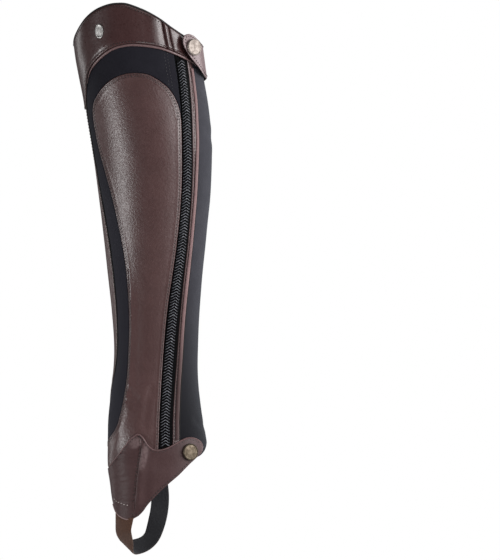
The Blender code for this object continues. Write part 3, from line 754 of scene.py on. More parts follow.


def painted_highlight_share(tree, fine, turn, height, half_width, half_height, slant):
    """How much painted highlight the leather gets round a place, broken up by its grain."""
    across, along, _ = cloth_facts(tree)
    up = math_node(tree, "SUBTRACT", along, height)
    aside = math_node(tree, "SUBTRACT", across, math.radians(turn) * UNROLL)
    aside = math_node(tree, "SUBTRACT", aside, math_node(tree, "MULTIPLY", up, slant))
    squares = [
        math_node(tree, "POWER", math_node(tree, "DIVIDE", way, reach), 2.0)
        for way, reach in ((aside, half_width), (up, half_height))
    ]
    near = remap(tree, math_node(tree, "ADD", *squares), 0.1, 1.2, 0.85, 0.0)
    return math_node(tree, "MULTIPLY", near, remap(tree, fine, 0.30, 0.62, 0.45, 1.0))


def leather(
    name,
    dark,
    light,
    roughness=0.32,
    grain=0.03,
    specular=0.5,
    turns_to=None,
    foot=None,
    highlight_spots=(),
):
    """Smooth leather: soft colour clouds, pebble grain and pores.

    turns_to are the two colours that it turns to away from the tab, whose paler colour is a
    painted highlight, and foot the colour that it turns to near the foot, where the paler colour
    higher up is a painted highlight. The highlight spots are places painted paler as highlight:
    turn, height, half width and half height in mm, and slant.
    """
    made, tree, shader = new_material(name, dark, roughness)
    place = place_of(tree)
    clouds = noise(tree, place, 38.0, 4.0)
    fine = noise(tree, place, 420.0)
    share = math_node(tree, "MULTIPLY_ADD", fine, 0.35, math_node(tree, "MULTIPLY", clouds, 0.75))
    colour = shade(tree, share, 0.32, 0.78, dark, light)
    # Away from the tab the colour turns into the band's; the tab's paler colour is a painted
    # highlight.
    if turns_to:
        other = shade(tree, share, 0.32, 0.78, *turns_to)
        colour = shade(tree, cloth_facts(tree)[0], *TAB_HIGHLIGHT_END, colour, other)
    # Near the foot the cord turns into its own darker colour; its paler colour higher up is a
    # painted highlight.
    if foot:
        colour = shade(tree, parts_of(tree, place)[2], *CORD_FADES, foot, colour)
    # Places painted paler as highlight.
    for spot in highlight_spots:
        colour = mix_colour(tree, painted_highlight_share(tree, fine, *spot), colour, PAINTED_HIGHLIGHT_COLOUR)
    feed(
        tree,
        shader,
        Base_Color=colour,
        Roughness=remap(tree, fine, 0.3, 0.75, roughness - 0.03, roughness + 0.06),
        Specular_IOR_Level=specular,
    )
    slack = noise(tree, place, 55.0, 2.0)
    wrinkles = noise(tree, place, 430.0, 3.0, 0.6)
    pebbles = node(
        tree, "ShaderNodeTexVoronoi", feature="SMOOTH_F1", Vector=place, Scale=760.0
    ).outputs["Distance"]
    pores = noise(tree, place, 1500.0, 2.0)
    layers = ((slack, 4.0), (wrinkles, 8.5), (pebbles, 3.0), (pores, 0.6))
    add_bumps(tree, shader, *[(height, grain * share) for height, share in layers])
    return made


def stretch_cloth(name, dark, light, sheen=0.05, rib=0.85, foot=None, fades=BACK_FADES):
    """Knitted stretch cloth: fine ribs along the leg, crossed by rows, with a soft sheen.

    foot is the colour that it turns to towards the foot, and fades the heights in mm between
    which it does so. On the back it is darker: painted shade.
    """
    made, tree, shader = new_material(name, dark, 0.82)
    across, along, _ = cloth_facts(tree)
    place = place_of(tree)
    rows = math_node(tree, "MULTIPLY", ribs_of(tree, along, rib * 0.8), 0.35)
    knit = math_node(tree, "MULTIPLY_ADD", ribs_of(tree, across, rib), 0.5, rows)
    fuzz = noise(tree, place, 1700.0, 2.0)
    clouds = math_node(tree, "MULTIPLY", noise(tree, place, 60.0), 0.6)
    share = math_node(tree, "MULTIPLY_ADD", fuzz, 0.5, clouds)
    colour = shade(tree, share, 0.35, 0.8, dark, light)
    # Towards the foot it turns into the foot colour; on the back this darkening is painted shade.
    if foot:
        colour = shade(tree, along, *fades, foot, colour)
    feed(
        tree,
        shader,
        Base_Color=colour,
        Sheen_Weight=sheen,
        Sheen_Roughness=0.45,
        Sheen_Tint=(0.75, 0.80, 0.95),
        Specular_IOR_Level=0.15,
    )
    add_bumps(tree, shader, (knit, 0.06), (fuzz, 0.05))
    return made


def woven(name, dark, light, pitch=0.7, roughness=0.75, shine=1.0):
    """A narrow woven tape: cross ribs and a fleck of lighter yarn."""
    made, tree, shader = new_material(name, dark, roughness)
    across, along, _ = cloth_facts(tree)
    ribs = math_node(tree, "MULTIPLY", ribs_of(tree, along, pitch), 0.5)
    weave = math_node(tree, "MULTIPLY_ADD", ribs_of(tree, across, pitch * 1.3), 0.4, ribs)
    fleck = noise(tree, place_of(tree), 1300.0, 2.0)
    share = math_node(tree, "MULTIPLY_ADD", weave, 0.25, fleck)
    feed(
        tree,
        shader,
        Base_Color=shade(tree, share, 0.35, 0.85, dark, light),
        Specular_IOR_Level=0.3 * shine,
        Sheen_Weight=0.1 * shine,
    )
    add_bumps(tree, shader, (weave, 0.12), (fleck, 0.05))
    return made


def antique_metal(name, dark, light, roughness):
    """Metal with a mottled patina and fine scratches."""
    made, tree, shader = new_material(name, light, roughness, 1.0)
    place = place_of(tree)
    mottle = noise(tree, place, 260.0, 5.0, 0.65)
    scratches = noise(tree, place, 2340.0, 2.0)
    feed(
        tree,
        shader,
        Base_Color=shade(tree, mottle, 0.35, 0.65, dark, light),
        Roughness=remap(tree, mottle, 0.3, 0.7, roughness + 0.14, roughness - 0.06),
    )
    add_bumps(tree, shader, (mottle, 0.02), (scratches, 0.01))
    return made


def thread(name, dark, light):
    """Twisted thread."""
    made, tree, shader = new_material(name, light, 0.5)
    twist = noise(tree, place_of(tree), 2200.0, 2.0)
    feed(tree, shader, Base_Color=shade(tree, twist, 0.35, 0.65, dark, light))
    add_bumps(tree, shader, (twist, 0.08))
    return made


def moulded(name, dark, light):
    """The zip's teeth: dark, slightly glossy, in tones that vary at random."""
    made, tree, shader = new_material(name, dark, 0.26)
    rub = noise(tree, place_of(tree), 500.0)
    feed(
        tree,
        shader,
        Base_Color=shade(tree, rub, 0.4, 0.7, dark, light),
        Roughness=remap(tree, rub, 0.3, 0.7, 0.18, 0.28),
        Specular_IOR_Level=0.9,
        Coat_Weight=0.3,
        Coat_Roughness=0.12,
    )
    add_bumps(tree, shader, (rub, 0.03))
    return made


BROWN = leather("brown_leather", (0.054, 0.0256, 0.0250), (0.070, 0.0345, 0.0340), 0.36)
BAND_COLOURS = (0.035, 0.0140, 0.0140), (0.045, 0.0184, 0.0184)
BROWN_BAND = leather("brown_band_leather", *BAND_COLOURS, 0.30, 0.014)
# The flap's leather, with two patches near its seam painted paler as highlight.
BROWN_FLAP = leather(
    "brown_flap_leather",
    (0.045, 0.0225, 0.0230),
    (0.060, 0.0320, 0.0328),
    0.47,
    0.02,
    0.19,
    highlight_spots=[(60.5, -284.0, 8.0, 6.5, 0.35), (71.0, -298.0, 5.5, 15.0, 0.2)],
)
# The band's inner piece: its tab is painted paler as highlight, fading into the band's colours
# round the leg.
BROWN_TAB = leather(
    "brown_tab_leather",
    (0.130, 0.086, 0.090),
    (0.175, 0.120, 0.124),
    0.40,
    0.02,
    turns_to=BAND_COLOURS,
)
BROWN_STRIP = leather("brown_strip", (0.062, 0.033, 0.033), (0.084, 0.047, 0.047), 0.36, 0.02)
# A pale edge colour: painted highlight, used on the flap's lower tip.
HIGHLIGHT_EDGE = leather("painted_highlight_edge", (0.21, 0.14, 0.14), (0.30, 0.21, 0.21), 0.35, 0.02)
# Paler leather for the piping and the flap's top edges: partly their own colour, partly painted
# highlight for the light that the rounded trims catch.
BROWN_TRIM = leather("brown_trim", (0.096, 0.053, 0.054), (0.128, 0.075, 0.076), 0.36, 0.02)
# The piping behind the zip: painted paler higher up as highlight, turning into its own darker
# colour near the foot.
BROWN_CORD = leather(
    "brown_cord",
    (0.135, 0.078, 0.079),
    (0.178, 0.109, 0.110),
    0.52,
    0.02,
    0.15,
    foot=(0.044, 0.0235, 0.0235),
)
EDGE_PAINT = leather("edge_paint", (0.012, 0.007, 0.007), (0.020, 0.012, 0.012), 0.45, 0.03)
STRETCH = stretch_cloth(
    "black_stretch",
    (0.0062, 0.0058, 0.0096),
    (0.0100, 0.0094, 0.0142),
    foot=(0.0165, 0.0160, 0.0225),
    fades=ARCH_FADES,
)
# The back's cloth darkens towards the foot: painted shade.
BACK_STRETCH = stretch_cloth(
    "back_stretch",
    (0.018, 0.0175, 0.0230),
    (0.027, 0.026, 0.0330),
    0.12,
    foot=(0.004, 0.004, 0.006),
)
LINING = woven("lining", (0.016, 0.012, 0.011), (0.030, 0.024, 0.022), 0.9, 0.85)
TAPE = woven("zip_tape_weave", (0.002, 0.002, 0.0022), (0.005, 0.005, 0.0055), 0.8, shine=0.1)
TEETH = moulded("zip_teeth", (0.066, 0.069, 0.081), (0.230, 0.236, 0.264))
BINDING_CLOTH = woven("edge_binding", (0.006, 0.004, 0.004), (0.012, 0.008, 0.008), 0.9, 0.6)
THREAD = thread("brown_thread", (0.006, 0.003, 0.003), (0.016, 0.008, 0.008))
THREAD_LIGHT = thread("light_thread", (0.220, 0.180, 0.170), (0.420, 0.370, 0.360))
THREAD_BLACK = thread("black_thread", (0.004, 0.004, 0.005), (0.012, 0.012, 0.015))
# Near-black for strips along seams; the one down the shin is painted shade in the seam.
SEAM_BLACK = woven("dark_seam_strip", (0.0012, 0.0010, 0.0012), (0.0030, 0.0026, 0.0030), 0.9, 0.85)
BRASS = antique_metal("antique_brass", (0.076, 0.060, 0.043), (0.096, 0.078, 0.058), 0.5)
# A paler copy of the antique brass, for the tab's snap: painted highlight for the light that it
# catches.
BRASS_PAINTED_LIT = antique_metal("brass_painted_lit", (0.300, 0.258, 0.232), (0.350, 0.308, 0.280), 0.62)
SILVER = antique_metal("plate_silver", (0.240, 0.236, 0.230), (0.460, 0.452, 0.442), 0.40)
ELASTIC_BROWN = woven("elastic_brown", (0.055, 0.0215, 0.0110), (0.098, 0.042, 0.024), 1.1, 0.8)
ELASTIC_BLACK = woven("elastic_black", (0.006, 0.006, 0.008), (0.016, 0.016, 0.020), 1.1, 0.85)

LEATHER_SIDES = [BROWN, LINING, EDGE_PAINT]
BAND_SIDES = [BROWN_BAND, LINING, EDGE_PAINT]
TAB_SIDES = [BROWN_TAB, LINING, EDGE_PAINT]
FLAP_SIDES = [BROWN_FLAP, LINING, EDGE_PAINT]
STRETCH_SIDES = [STRETCH, LINING, STRETCH]
BACK_SIDES = [BACK_STRETCH, LINING, STRETCH]
TAPE_SIDES = [TAPE, TAPE, TAPE]
STRIP_SIDES = [BROWN_STRIP, LINING, EDGE_PAINT]


# ---------------- relief

def at(height):
    """The same height over the surface everywhere."""
    return lambda points: np.full(len(points), height)


def waves(points, size, seed, depth):
    """Slow unevenness, as skin laid over a form has."""
    rng = np.random.default_rng(seed)
    total = np.zeros(len(points))
    for _ in range(7):
        angle = rng.uniform(0.0, math.tau)
        length = size * rng.uniform(0.6, 1.6)
        phase = rng.uniform(0.0, math.tau)
        way = np.array([math.cos(angle), math.sin(angle) * 0.6])
        total += np.sin(points @ way * math.tau / length + phase)
    return total * depth / 7**0.5


def fold(points, rows, width, depth):
    """A soft crease along a line of (turn, height) rows; a negative depth is a ridge."""
    path = trace(rows)
    away = distance_to(points, path) / width
    return -depth * np.exp(-(away**2)) + 0.45 * depth * np.exp(-((away - 1.9) ** 2))


def creased(rise, points, creases):
    """A relief with creases in it: half width, depth and (turn, height) course of each."""
    for width, depth, course in creases:
        rise = rise + fold(points, course, width, depth)
    return rise


def groove(points, path, width, depth):
    """A narrow groove along a flat path."""
    return -depth * ease(distance_to(points, path), width, 0.0)


# ---------------- stitches

STITCH = 2.0
STITCH_PITCH = 3.1
STITCH_RADIUS = 0.44
THIN_STITCH = 0.28  # the radius of finer thread
STITCH_STEPS = 5
STITCH_CORNERS = 6


def stitch_row(path, lift_at, radius=STITCH_RADIUS, length=STITCH):
    """Stitches along a flat path, each a short arched thread that dives in at both ends."""
    place, _, across, out = path_frames(path)
    place = place + out * lift_at(path)[:, None]
    run = lengths_of(place)
    count = max(int(run[-1] / STITCH_PITCH), 1)
    starts = (np.arange(count) + 0.5) * run[-1] / count - length / 2
    angles = circle(STITCH_CORNERS)
    arch = np.sin(np.linspace(0.0, math.pi, STITCH_STEPS))
    width = radius * (0.55 + 0.45 * arch)
    faces = rings_to_faces(STITCH_STEPS, STITCH_CORNERS)
    parts = []
    for start in starts:
        spots = start + np.linspace(0.0, length, STITCH_STEPS)
        middle, aside, up = [read_at(values, run, spots) for values in (place, across, out)]
        middle += up * ((arch - 0.55) * radius * 1.3)[:, None]
        rings = (
            middle[:, None]
            + aside[:, None] * (np.cos(angles) * width[:, None])[..., None]
            + up[:, None] * (np.sin(angles) * width[:, None])[..., None]
        )
        parts.append((rings.reshape(-1, 3), faces))
    return joined(parts)


# ---------------- the leg's panels

SEAMS = {
    "shin": seam(SHIN_TOP, SHIN_SEAM),
    "tape_upper": seam(TAPE_TOP, TAPE_UPPER),
    "tape_lower": trace(TAPE_LOWER),
    "arch": trace(ARCH_SEAM),
    "chain": seam(CHAIN_TOP, CHAIN_LINE),
    "binding": seam(BINDING_TOP, BINDING_SEAM),
    "calf": seam(CALF_TOP, CALF_SEAM),
    "inner": seam(INNER_TOP, INNER_SEAM),
    "instep": trace(INSTEP_SEAM),
}


# Creases of each panel: half width, depth, and (turn, height) course. A negative depth
# is a ridge.
INNER_CREASES = [
    (5.0, 0.8, [(-150, 30), (-120, 22), (-85, 26), (-60, 34)]),
    (4.5, 0.9, [(-152, -205), (-120, -213), (-88, -208)]),
    (4.0, 0.8, [(-60, -222), (-35, -232), (-12, -226)]),
    (5.0, 0.7, [(-150, -248), (-110, -258), (-70, -250), (-45, -258)]),
]
LEATHER_CREASES = [
    (3.0, 0.35, [(50, -232), (56, -238), (63, -240)]),
    (3.4, 0.25, [(50, -243), (57, -247), (66, -247), (76, -245)]),
    (4.0, 0.35, [(84, -232), (78, -250), (74, -268)]),
    (4.4, -0.34, [(17, -302), (31, -287), (40, -272), (46, -261), (53, -250)]),
]
BACK_CREASES = [
    (3.5, 0.35, [(150, -262), (165, -270), (182, -268), (198, -272)]),
    (3.0, 0.3, [(140, -284), (156, -280), (176, -277)]),
    (5.0, 0.5, [(160, 18), (178, 12), (198, 16)]),
]
FLAP_CREASES = [
    (4.4, -0.9, [(72, -290), (69, -305), (64, -322), (61, -340)]),
    (6.0, 0.4, [(90, -305), (112, -306), (128, -300)]),
]


def declare(made, with_pieces=()):
    """Reads the size that the piece was cut to and the pieces sewn onto it, and does nothing with
    them.
    """
    width, length, area = made["flat"]
    full = width * length
    min(area, full)
    list(with_pieces)


def inner_panel():
    """The plain side: a turned edge down the shin, soft bends behind the knee and ankle."""
    back = shifted(SEAMS["inner"], -360.0)
    hem = trace(INNER_HEM)
    loop = outline(
        hem,
        SEAMS["instep"][::-1],
        SEAMS["shin"][::-1],
        level(leg_top, SHIN_TOP, INNER_TOP - 360.0),
        back,
    )

    def relief(points):
        front = distance_to(points, SEAMS["shin"])
        rise = 0.4 * ease(front, 5.0, 4.2) * ease(points[:, 1], -262.0, -250.0)
        rise += groove(points, SEAMS["shin"], 1.0, 0.5)
        rise += waves(points, 70.0, 3, 0.35)
        return creased(rise, points, INNER_CREASES)

    made = panel("inner_side", "leather", loop, relief, at(-WALL), LEATHER_SIDES, folds=(4.2, 5.0))
    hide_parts("inner_panel")
    rows = [
        stitch_row(beside(SEAMS["shin"][40:-20], -2.2), at(0.2), THIN_STITCH),
        stitch_row(beside(back, 1.8), at(0.0)),
        stitch_row(beside(back, 4.2), at(0.0)),
        stitch_row(beside(hem, 2.2), at(0.0)),
    ]
    sewing = make_object("inner_side_sewing", "leather", *joined(rows), [THREAD])
    declare(made, with_pieces=[sewing])


def dark_seam_strip(name, path, offset, half):
    """A narrow black strip along a seam."""
    profile = [
        (offset + half, -0.5), (offset + half * 0.7, 0.25), (offset, 0.38),
        (offset - half * 0.7, 0.25), (offset - half, -0.5),
    ]
    return make_object(name, "stretch_cloth", *cord_points(path, profile), [SEAM_BLACK])


FACING = ((6.6, 57.0), (9.4, 61.5))  # rows beside the zip: distance from it, lowest height


def stretch_panel():
    """Black stretch cloth: the arch over the leather panel and the strip down the shin."""
    loop = outline(
        SEAMS["arch"][::-1],
        SEAMS["tape_upper"][::-1],
        level(leg_top, TAPE_TOP, SHIN_TOP),
        SEAMS["shin"],
    )
    facing = [stretch_above(beside(SEAMS["tape_upper"], -side), low) for side, low in FACING]

    def relief(points):
        rise = waves(points, 26.0, 5, 0.14)
        rise += groove(points, SEAMS["shin"], 2.2, 1.1)
        rise += groove(points, SEAMS["arch"], 1.2, 0.6)
        for line in facing:
            rise += groove(points, line, 0.9, 0.35)
        return rise

    made = panel(
        "outer_stretch", "stretch_cloth", loop, relief, at(-WALL), STRETCH_SIDES, (1.2, 2.2), 2.0
    )
    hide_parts("outer_stretch_panel")
    rows = [stitch_row(line, at(-0.05), THIN_STITCH) for line in facing]
    sewing = make_object("outer_stretch_sewing", "stretch_cloth", *joined(rows), [THREAD_BLACK])
    # Down the shin seam a near-black strip stands in for the seam's shade: painted shade.
    tape = dark_seam_strip("shin_seam_painted_shade", SEAMS["shin"][10:-4], 0.0, 0.95)
    declare(made, with_pieces=[sewing, tape])


ARCH_ROWS = (1.7, 3.2)  # how far its rows of stitches are from the edge
ZIP_ROWS = (2.2,)


def border(points, path, rows):
    """A folded edge along a path: a low step with a groove for each row of stitches."""
    away = distance_to(points, path)
    rise = BORDER_RISE * ease(away, BORDER_WIDTH + BORDER_SLOPE, BORDER_WIDTH)
    for row in rows:
        rise -= 0.32 * bump(away, row, 0.75)
    return rise


FULLER = ((-112.0, -150.0), (-262.0, -235.0))  # heights between which its front edge swells


def leather_panel():
    """The arched leather panel with its folded border and two rows of stitches."""
    hem = trace(OUTER_HEM)
    arch = SEAMS["arch"]
    zip_side = SEAMS["tape_lower"]
    loop = outline(hem, zip_side[::-1], arch, SEAMS["instep"])
    bare = np.vstack([SEAMS["instep"], hem])

    def relief(points):
        rise = np.maximum(border(points, arch, ARCH_ROWS), border(points, zip_side, ZIP_ROWS))
        rise *= ease(distance_to(points, bare), 2.0, 12.0)
        height = points[:, 1]
        fuller = ease(height, *FULLER[0]) * ease(height, *FULLER[1])
        away = distance_to(points, arch)
        rise += fuller * ease(away, 0.0, 3.0) * ease(away, 13.0, 4.0)
        rise += waves(points, 60.0, 11, 0.12)
        return creased(rise, points, LEATHER_CREASES)

    folds = (1.7, 2.45, 3.2, BORDER_WIDTH, BORDER_WIDTH + BORDER_SLOPE)
    made = panel(
        "outer_leather", "leather", loop, relief, at(-WALL), LEATHER_SIDES, folds, grid=2.2
    )
    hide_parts("outer_leather_panel")
    lines = [beside(arch[:-26], row) for row in ARCH_ROWS]
    lines += [beside(zip_side[:-10], -row) for row in ZIP_ROWS]
    rows = [stitch_row(line, relief) for line in lines]
    sewing = make_object("outer_leather_sewing", "leather", *joined(rows), [THREAD])
    declare(made, with_pieces=[sewing])


def back_panel():
    """Black stretch cloth down the calf, with a flat seam near its middle."""
    hem = trace(BACK_HEM)
    loop = outline(
        hem,
        SEAMS["inner"][::-1],
        level(leg_top, INNER_TOP, CALF_TOP),
        SEAMS["calf"],
    )

    def relief(points):
        return creased(waves(points, 34.0, 8, 0.18), points, BACK_CREASES)

    made = panel("back_stretch", "stretch_cloth", loop, relief, at(-WALL), BACK_SIDES, grid=2.4)
    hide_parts("back_stretch_panel")
    rows = [
        stitch_row(beside(SEAMS["inner"], -1.8), at(0.0), THIN_STITCH),
        stitch_row(beside(hem, 2.0), at(0.0), THIN_STITCH),
    ]
    sewing = make_object("back_stretch_sewing", "stretch_cloth", *joined(rows), [THREAD_BLACK])
    tape = dark_seam_strip("calf_seam_tape", stretch_of(SEAMS["calf"], *PIPING_ENDS), 0.75, 0.8)
    declare(made, with_pieces=[sewing, tape])


# ---------------- the zip

def between(left, right):
    """The outline between two seams that both run from top to foot."""
    return np.vstack([left, right[::-1]])


# One side of a rib of the chain, from the middle out: across, drop along the chain, half of
# its thickness, and height over the tape. Ribs of both sides meet in a blunt arrow head.
FRONT_RIB = [
    (-0.3, -0.05, 0.50, 1.85), (0.5, 0.15, 0.50, 2.00), (1.4, 0.90, 0.42, 1.80),
    (2.3, 1.65, 0.38, 1.60), (3.3, 2.25, 0.35, 1.35), (4.3, 2.75, 0.28, 0.95),
]
REAR_RIB = [
    (-0.3, -0.05, 0.50, 1.85), (0.5, 0.10, 0.44, 2.05), (1.2, 0.45, 0.44, 1.95),
    (2.0, 1.05, 0.62, 1.80), (2.9, 1.60, 0.34, 1.55), (3.6, 1.85, 0.34, 1.25),
    (4.3, 2.00, 0.60, 0.75),
]


RIB_CORNERS = 8
RIB_RADIUS = 0.7
RIB_LIFT = 0.1


def rib(side, rows):
    """Half a rib, as points that are (across, along, out) in mm."""
    angles = circle(RIB_CORNERS)
    rings = []
    for across, along, half, top in rows:
        rings.append(np.column_stack([
            np.full(RIB_CORNERS, across * side),
            along + np.cos(angles) * half,
            top - RIB_RADIUS + np.sin(angles) * RIB_RADIUS + RIB_LIFT,
        ]))
    faces = rings_to_faces(len(rows), RIB_CORNERS)
    if side < 0:
        faces = [face[::-1] for face in faces]
    return np.vstack(rings), faces


def zip_chain():
    """Closed ribs from both sides, one pitch apart, over a dark core."""
    path = resampled(stretch_of(SEAMS["chain"], *CHAIN_ENDS), CHAIN_STEP)
    frames = path_frames(path)
    run = lengths_of(frames[0])
    parts = []
    for index in range(int((run[-1] - CHAIN_SPARE) / TOOTH_PITCH)):
        where = FIRST_TOOTH + index * TOOTH_PITCH
        place, along, across, out = [read_at(values, run, where) for values in frames]
        # across points to the rear on a path that runs down
        for side, rows in ((-1, FRONT_RIB), (1, REAR_RIB)):
            points, faces = rib(side, rows)
            parts.append((place + points @ np.array([across, along, out]), faces))
    made = make_object("zip_teeth", "zip_chain", *joined(parts), [TEETH])
    half = CHAIN_WIDTH / 2
    rear = [(half, 0.1), (half - 0.3, 0.45), (1.6, 0.55)]
    core_profile = [(-half, 0.1), *rear, (-1.6, 0.55), (0.3 - half, 0.45)]
    core = make_object("zip_core", "zip_chain", *cord_points(path, core_profile), [TAPE])
    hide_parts("zip_chain")
    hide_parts("zip_chain")
    return [made, core]


def zip_tapes():
    """The woven tapes at both sides of the teeth."""
    front_edge = np.vstack([SEAMS["tape_upper"][:-1], SEAMS["tape_lower"]])
    # name, front and rear edge, solid that it stands for
    pieces = (
        ("zip_tape_forward", front_edge, SEAMS["chain"], "zip_tape_front"),
        ("zip_tape_back", SEAMS["chain"], SEAMS["binding"], "zip_tape_rear"),
    )
    teeth = zip_chain()
    for name, left, right, cad_node in pieces:
        made = panel(
            name, "zip_tape", between(left, right), at(-0.3), at(-WALL), TAPE_SIDES, grid=2.2
        )
        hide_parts(cad_node)
        declare(made, with_pieces=teeth if cad_node == "zip_tape_front" else [])


def zip_binding():
    """The flat stitched strip behind the zip, and the piping along its rear edge."""

    def relief(points):
        away = distance_to(points, SEAMS["binding"])
        return 0.45 * ease(away, 0.0, 1.0) - 0.3 * bump(away, BINDING_ROW, 0.8)

    made = panel(
        "binding_strip",
        "piping",
        between(SEAMS["binding"], SEAMS["calf"]),
        relief,
        at(-WALL),
        STRIP_SIDES,
        folds=(1.2, BINDING_ROW, 2.6),
        grid=1.3,
        roll=0.4,
    )
    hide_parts("zip_binding")
    path = stretch_of(SEAMS["calf"], *PIPING_ENDS)
    profile = round_profile(*ZIP_PIPING, 14)
    piping = make_object("binding_piping", "piping", *cord_points(path, profile), [BROWN_CORD])
    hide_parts("zip_piping")
    line = beside(stretch_of(SEAMS["binding"], 86.0, -288.0), BINDING_ROW)
    sewing = make_object("binding_sewing", "piping", *stitch_row(line, at(0.15)), [THREAD])
    declare(made, with_pieces=[piping, sewing])


# ---------------- the top band

def band_inner_lift(points):
    """The band's inner face: on the leg, then up onto the rear end under the tab."""
    turn = turns_of(points)
    return LAP + (BAND_WALL + 0.3) * ease(turn, *TAB_LIFT) + TAB_RISE * ease(turn, *TAB_SPRING)


def band_line(top_turn, low_turn):
    """A seam across the band, from its top edge to its lower edge."""
    ends = [(top_turn, float(leg_top(top_turn))), (low_turn, float(band_low(low_turn)))]
    return resampled(flat(ends), STEP)


def band_thinned(points):
    """How much thinner the band is where its lower edge is skived, at the shin."""
    turn = np.abs(turns_of(points))
    return 1.2 * ease(points[:, 1], 76.0, 46.0) * ease(turn, 60.0, 24.0)


def band_relief(points):
    """A seam and a pinch side by side, puffed up round them, and the hollow under the tab."""
    turn = turns_of(points)
    first, second = [distance_to(points, band_line(*turns)) for turns in RIBS]
    rise = waves(points, 45.0, 21, 0.12)
    rise += 1.0 * ease(turn, 98.0, 110.0) * ease(first, 0.0, 7.5) * (turn < 118.5)
    rise -= 0.9 * ease(first, 1.3, 0.0)
    rise += 0.5 * bump(first, 2.2, 1.8) * (turn > 118.0)
    rise -= 0.7 * ease(second, 1.1, 0.0)
    high = ease(points[:, 1], 98.0, 112.0)
    rise += 0.6 * high * bump(turn, 132.5, 10.0)
    rise += 0.9 * (1.0 - high) * bump(turn, 128.0, 9.0) * (turn > 125.0)
    rise -= 0.9 * bump(turn, 145.0, 10.0)
    return rise - band_thinned(points)


def band_pieces():
    """Front piece, gusset and rear end, with their sewing."""
    lines = [(BAND_FRONT_TURN, BAND_FRONT_TURN), *RIBS, BAND_END]
    names = ("band_front", "band_gusset", "band_rear")
    rows = []
    made = []
    for name, front, rear in zip(names, lines, lines[1:]):
        low = level(band_low, front[1], rear[1])
        loop = outline(
            low,
            band_line(*rear)[::-1],
            level(leg_top, rear[0], front[0]),
            band_line(*front),
        )
        low_line = trace([(t, float(band_low(t))) for t in np.linspace(front[1], rear[1], 14)])

        def relief(points, low_line=low_line):
            edge = distance_to(points, low_line)
            rise = LAP + BAND_WALL + band_relief(points)
            turn = turns_of(points)
            rise += 0.9 * ease(edge, 16.0, 0.0) * ease(turn, 15.0, 32.0) * ease(turn, 84.0, 62.0)
            rise += groove(points, beside(low_line, 2.1), 1.0, 0.3)
            return rise + 0.25 * bump(edge, 0.9, 1.1)

        sides = (relief, at(LAP), BAND_SIDES)
        piece = panel(name + "_leather", "band_leather", loop, *sides, (0.9, 2.1, 3.2), grid=1.7)
        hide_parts(name)
        made.append(piece)
        rows.append(stitch_row(beside(low, 2.1), relief))
    top = level(leg_top, BAND_FRONT_TURN, RIBS[0][0] - 1.0)
    rows.append(stitch_row(beside(top, -2.2), lambda p: LAP + BAND_WALL + band_relief(p)))
    sewing = make_object("band_sewing", "band_leather", *joined(rows), [THREAD])
    for piece, with_pieces in zip(made, ([sewing], [], [])):
        declare(piece, with_pieces=with_pieces)


def band_inner_piece():
    """The band's inner side, whose end is the tab."""
    tab_end = trace(TAB_END)
    corner = flat([(BAND_INNER_TURN, float(leg_top(BAND_INNER_TURN)))])
    loop = outline(
        level(band_low, -180.0, BAND_FRONT_TURN),
        band_line(BAND_FRONT_TURN, BAND_FRONT_TURN)[::-1],
        level(leg_top, BAND_FRONT_TURN, BAND_INNER_TURN),
        resampled(np.vstack([corner, tab_end[-1:]]), STEP),
        tab_end[::-1],
    )

    def relief(points):
        rise = band_inner_lift(points) + BAND_WALL - band_thinned(points)
        return rise + waves(points, 50.0, 22, 0.12)

    sides = (relief, band_inner_lift, TAB_SIDES)
    made = panel("band_inner_leather", "band_leather", loop, *sides, folds=(1.5, 2.6), grid=2.0)
    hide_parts("band_inner_side")
    around = inset(loop, 2.2)
    rows = [stitch_row(np.vstack([around, around[:1]]), relief)]
    sewing = make_object("tab_sewing", "band_leather", *joined(rows), [THREAD])
    declare(made, with_pieces=[sewing])


def band_trim():
    """Piping under the band and the dark top edge."""
    path = level(band_low, *BAND_PIPING_TURNS)
    half = BAND_PIPING / 2
    taper = np.minimum(ease(np.arange(len(path)), -4, 14), 1.0)
    profile = round_profile(-0.25 - half, LAP + 0.75, half, 1.05, 12)
    piping = make_object(
        "band_edge_piping", "piping", *cord_points(path, profile, shrink=taper), [BROWN_TRIM]
    )
    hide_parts("band_piping")
    top = level(leg_top, -180.0, 180.0)[:-1]
    profile = [
        (-1.4, -WALL - 0.35), (-0.6, -WALL - 0.5), (0.9, -WALL - 0.3), (1.6, -1.2),
        (1.8, -0.3), (1.6, 0.9), (1.0, 1.75), (0.1, 2.0), (0.05, 0.5), (0.05, -WALL),
    ]
    binding = make_object(
        "top_edge_binding", "edge_cloth", *cord_points(top, profile, True), [BINDING_CLOTH]
    )
    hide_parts("top_binding")


def plate():
    """A bare oval plate: a low dome inside a raised rim."""
    centre = flat(PLATE_CENTRE)
    base = LAP * 2 + BAND_WALL
    # radius as a share, height over the band
    profile = [
        (1.0, -0.35), (1.0, 0.55), (0.97, 0.85), (0.90, PLATE_WALL), (0.83, 0.9),
        (0.78, 0.62), (0.70, 0.55), (0.45, 0.68), (0.2, 0.74),
    ]
    angles = circle(PLATE_CORNERS)
    corner_on = [np.abs(way(angles)) ** PLATE_SQUARENESS for way in (np.cos, np.sin)]
    squarer = (corner_on[0] + corner_on[1]) ** (-1 / PLATE_SQUARENESS)
    rings = []
    for radius, height in profile:
        across = np.cos(angles) * squarer * radius * PLATE_WIDTH / 2 * UNROLL / PLATE_RADIUS
        up = np.sin(angles) * squarer * radius * PLATE_HEIGHT / 2
        spots = centre + np.column_stack([across, up])
        rings.append(skin(spots, np.full(PLATE_CORNERS, base + height)))
    faces = rings_to_faces(len(profile), PLATE_CORNERS)
    made = make_object(
        "blank_plate", "plate_metal", np.vstack(rings), faces, [SILVER], sharp=35.0
    )
    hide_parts("plate")


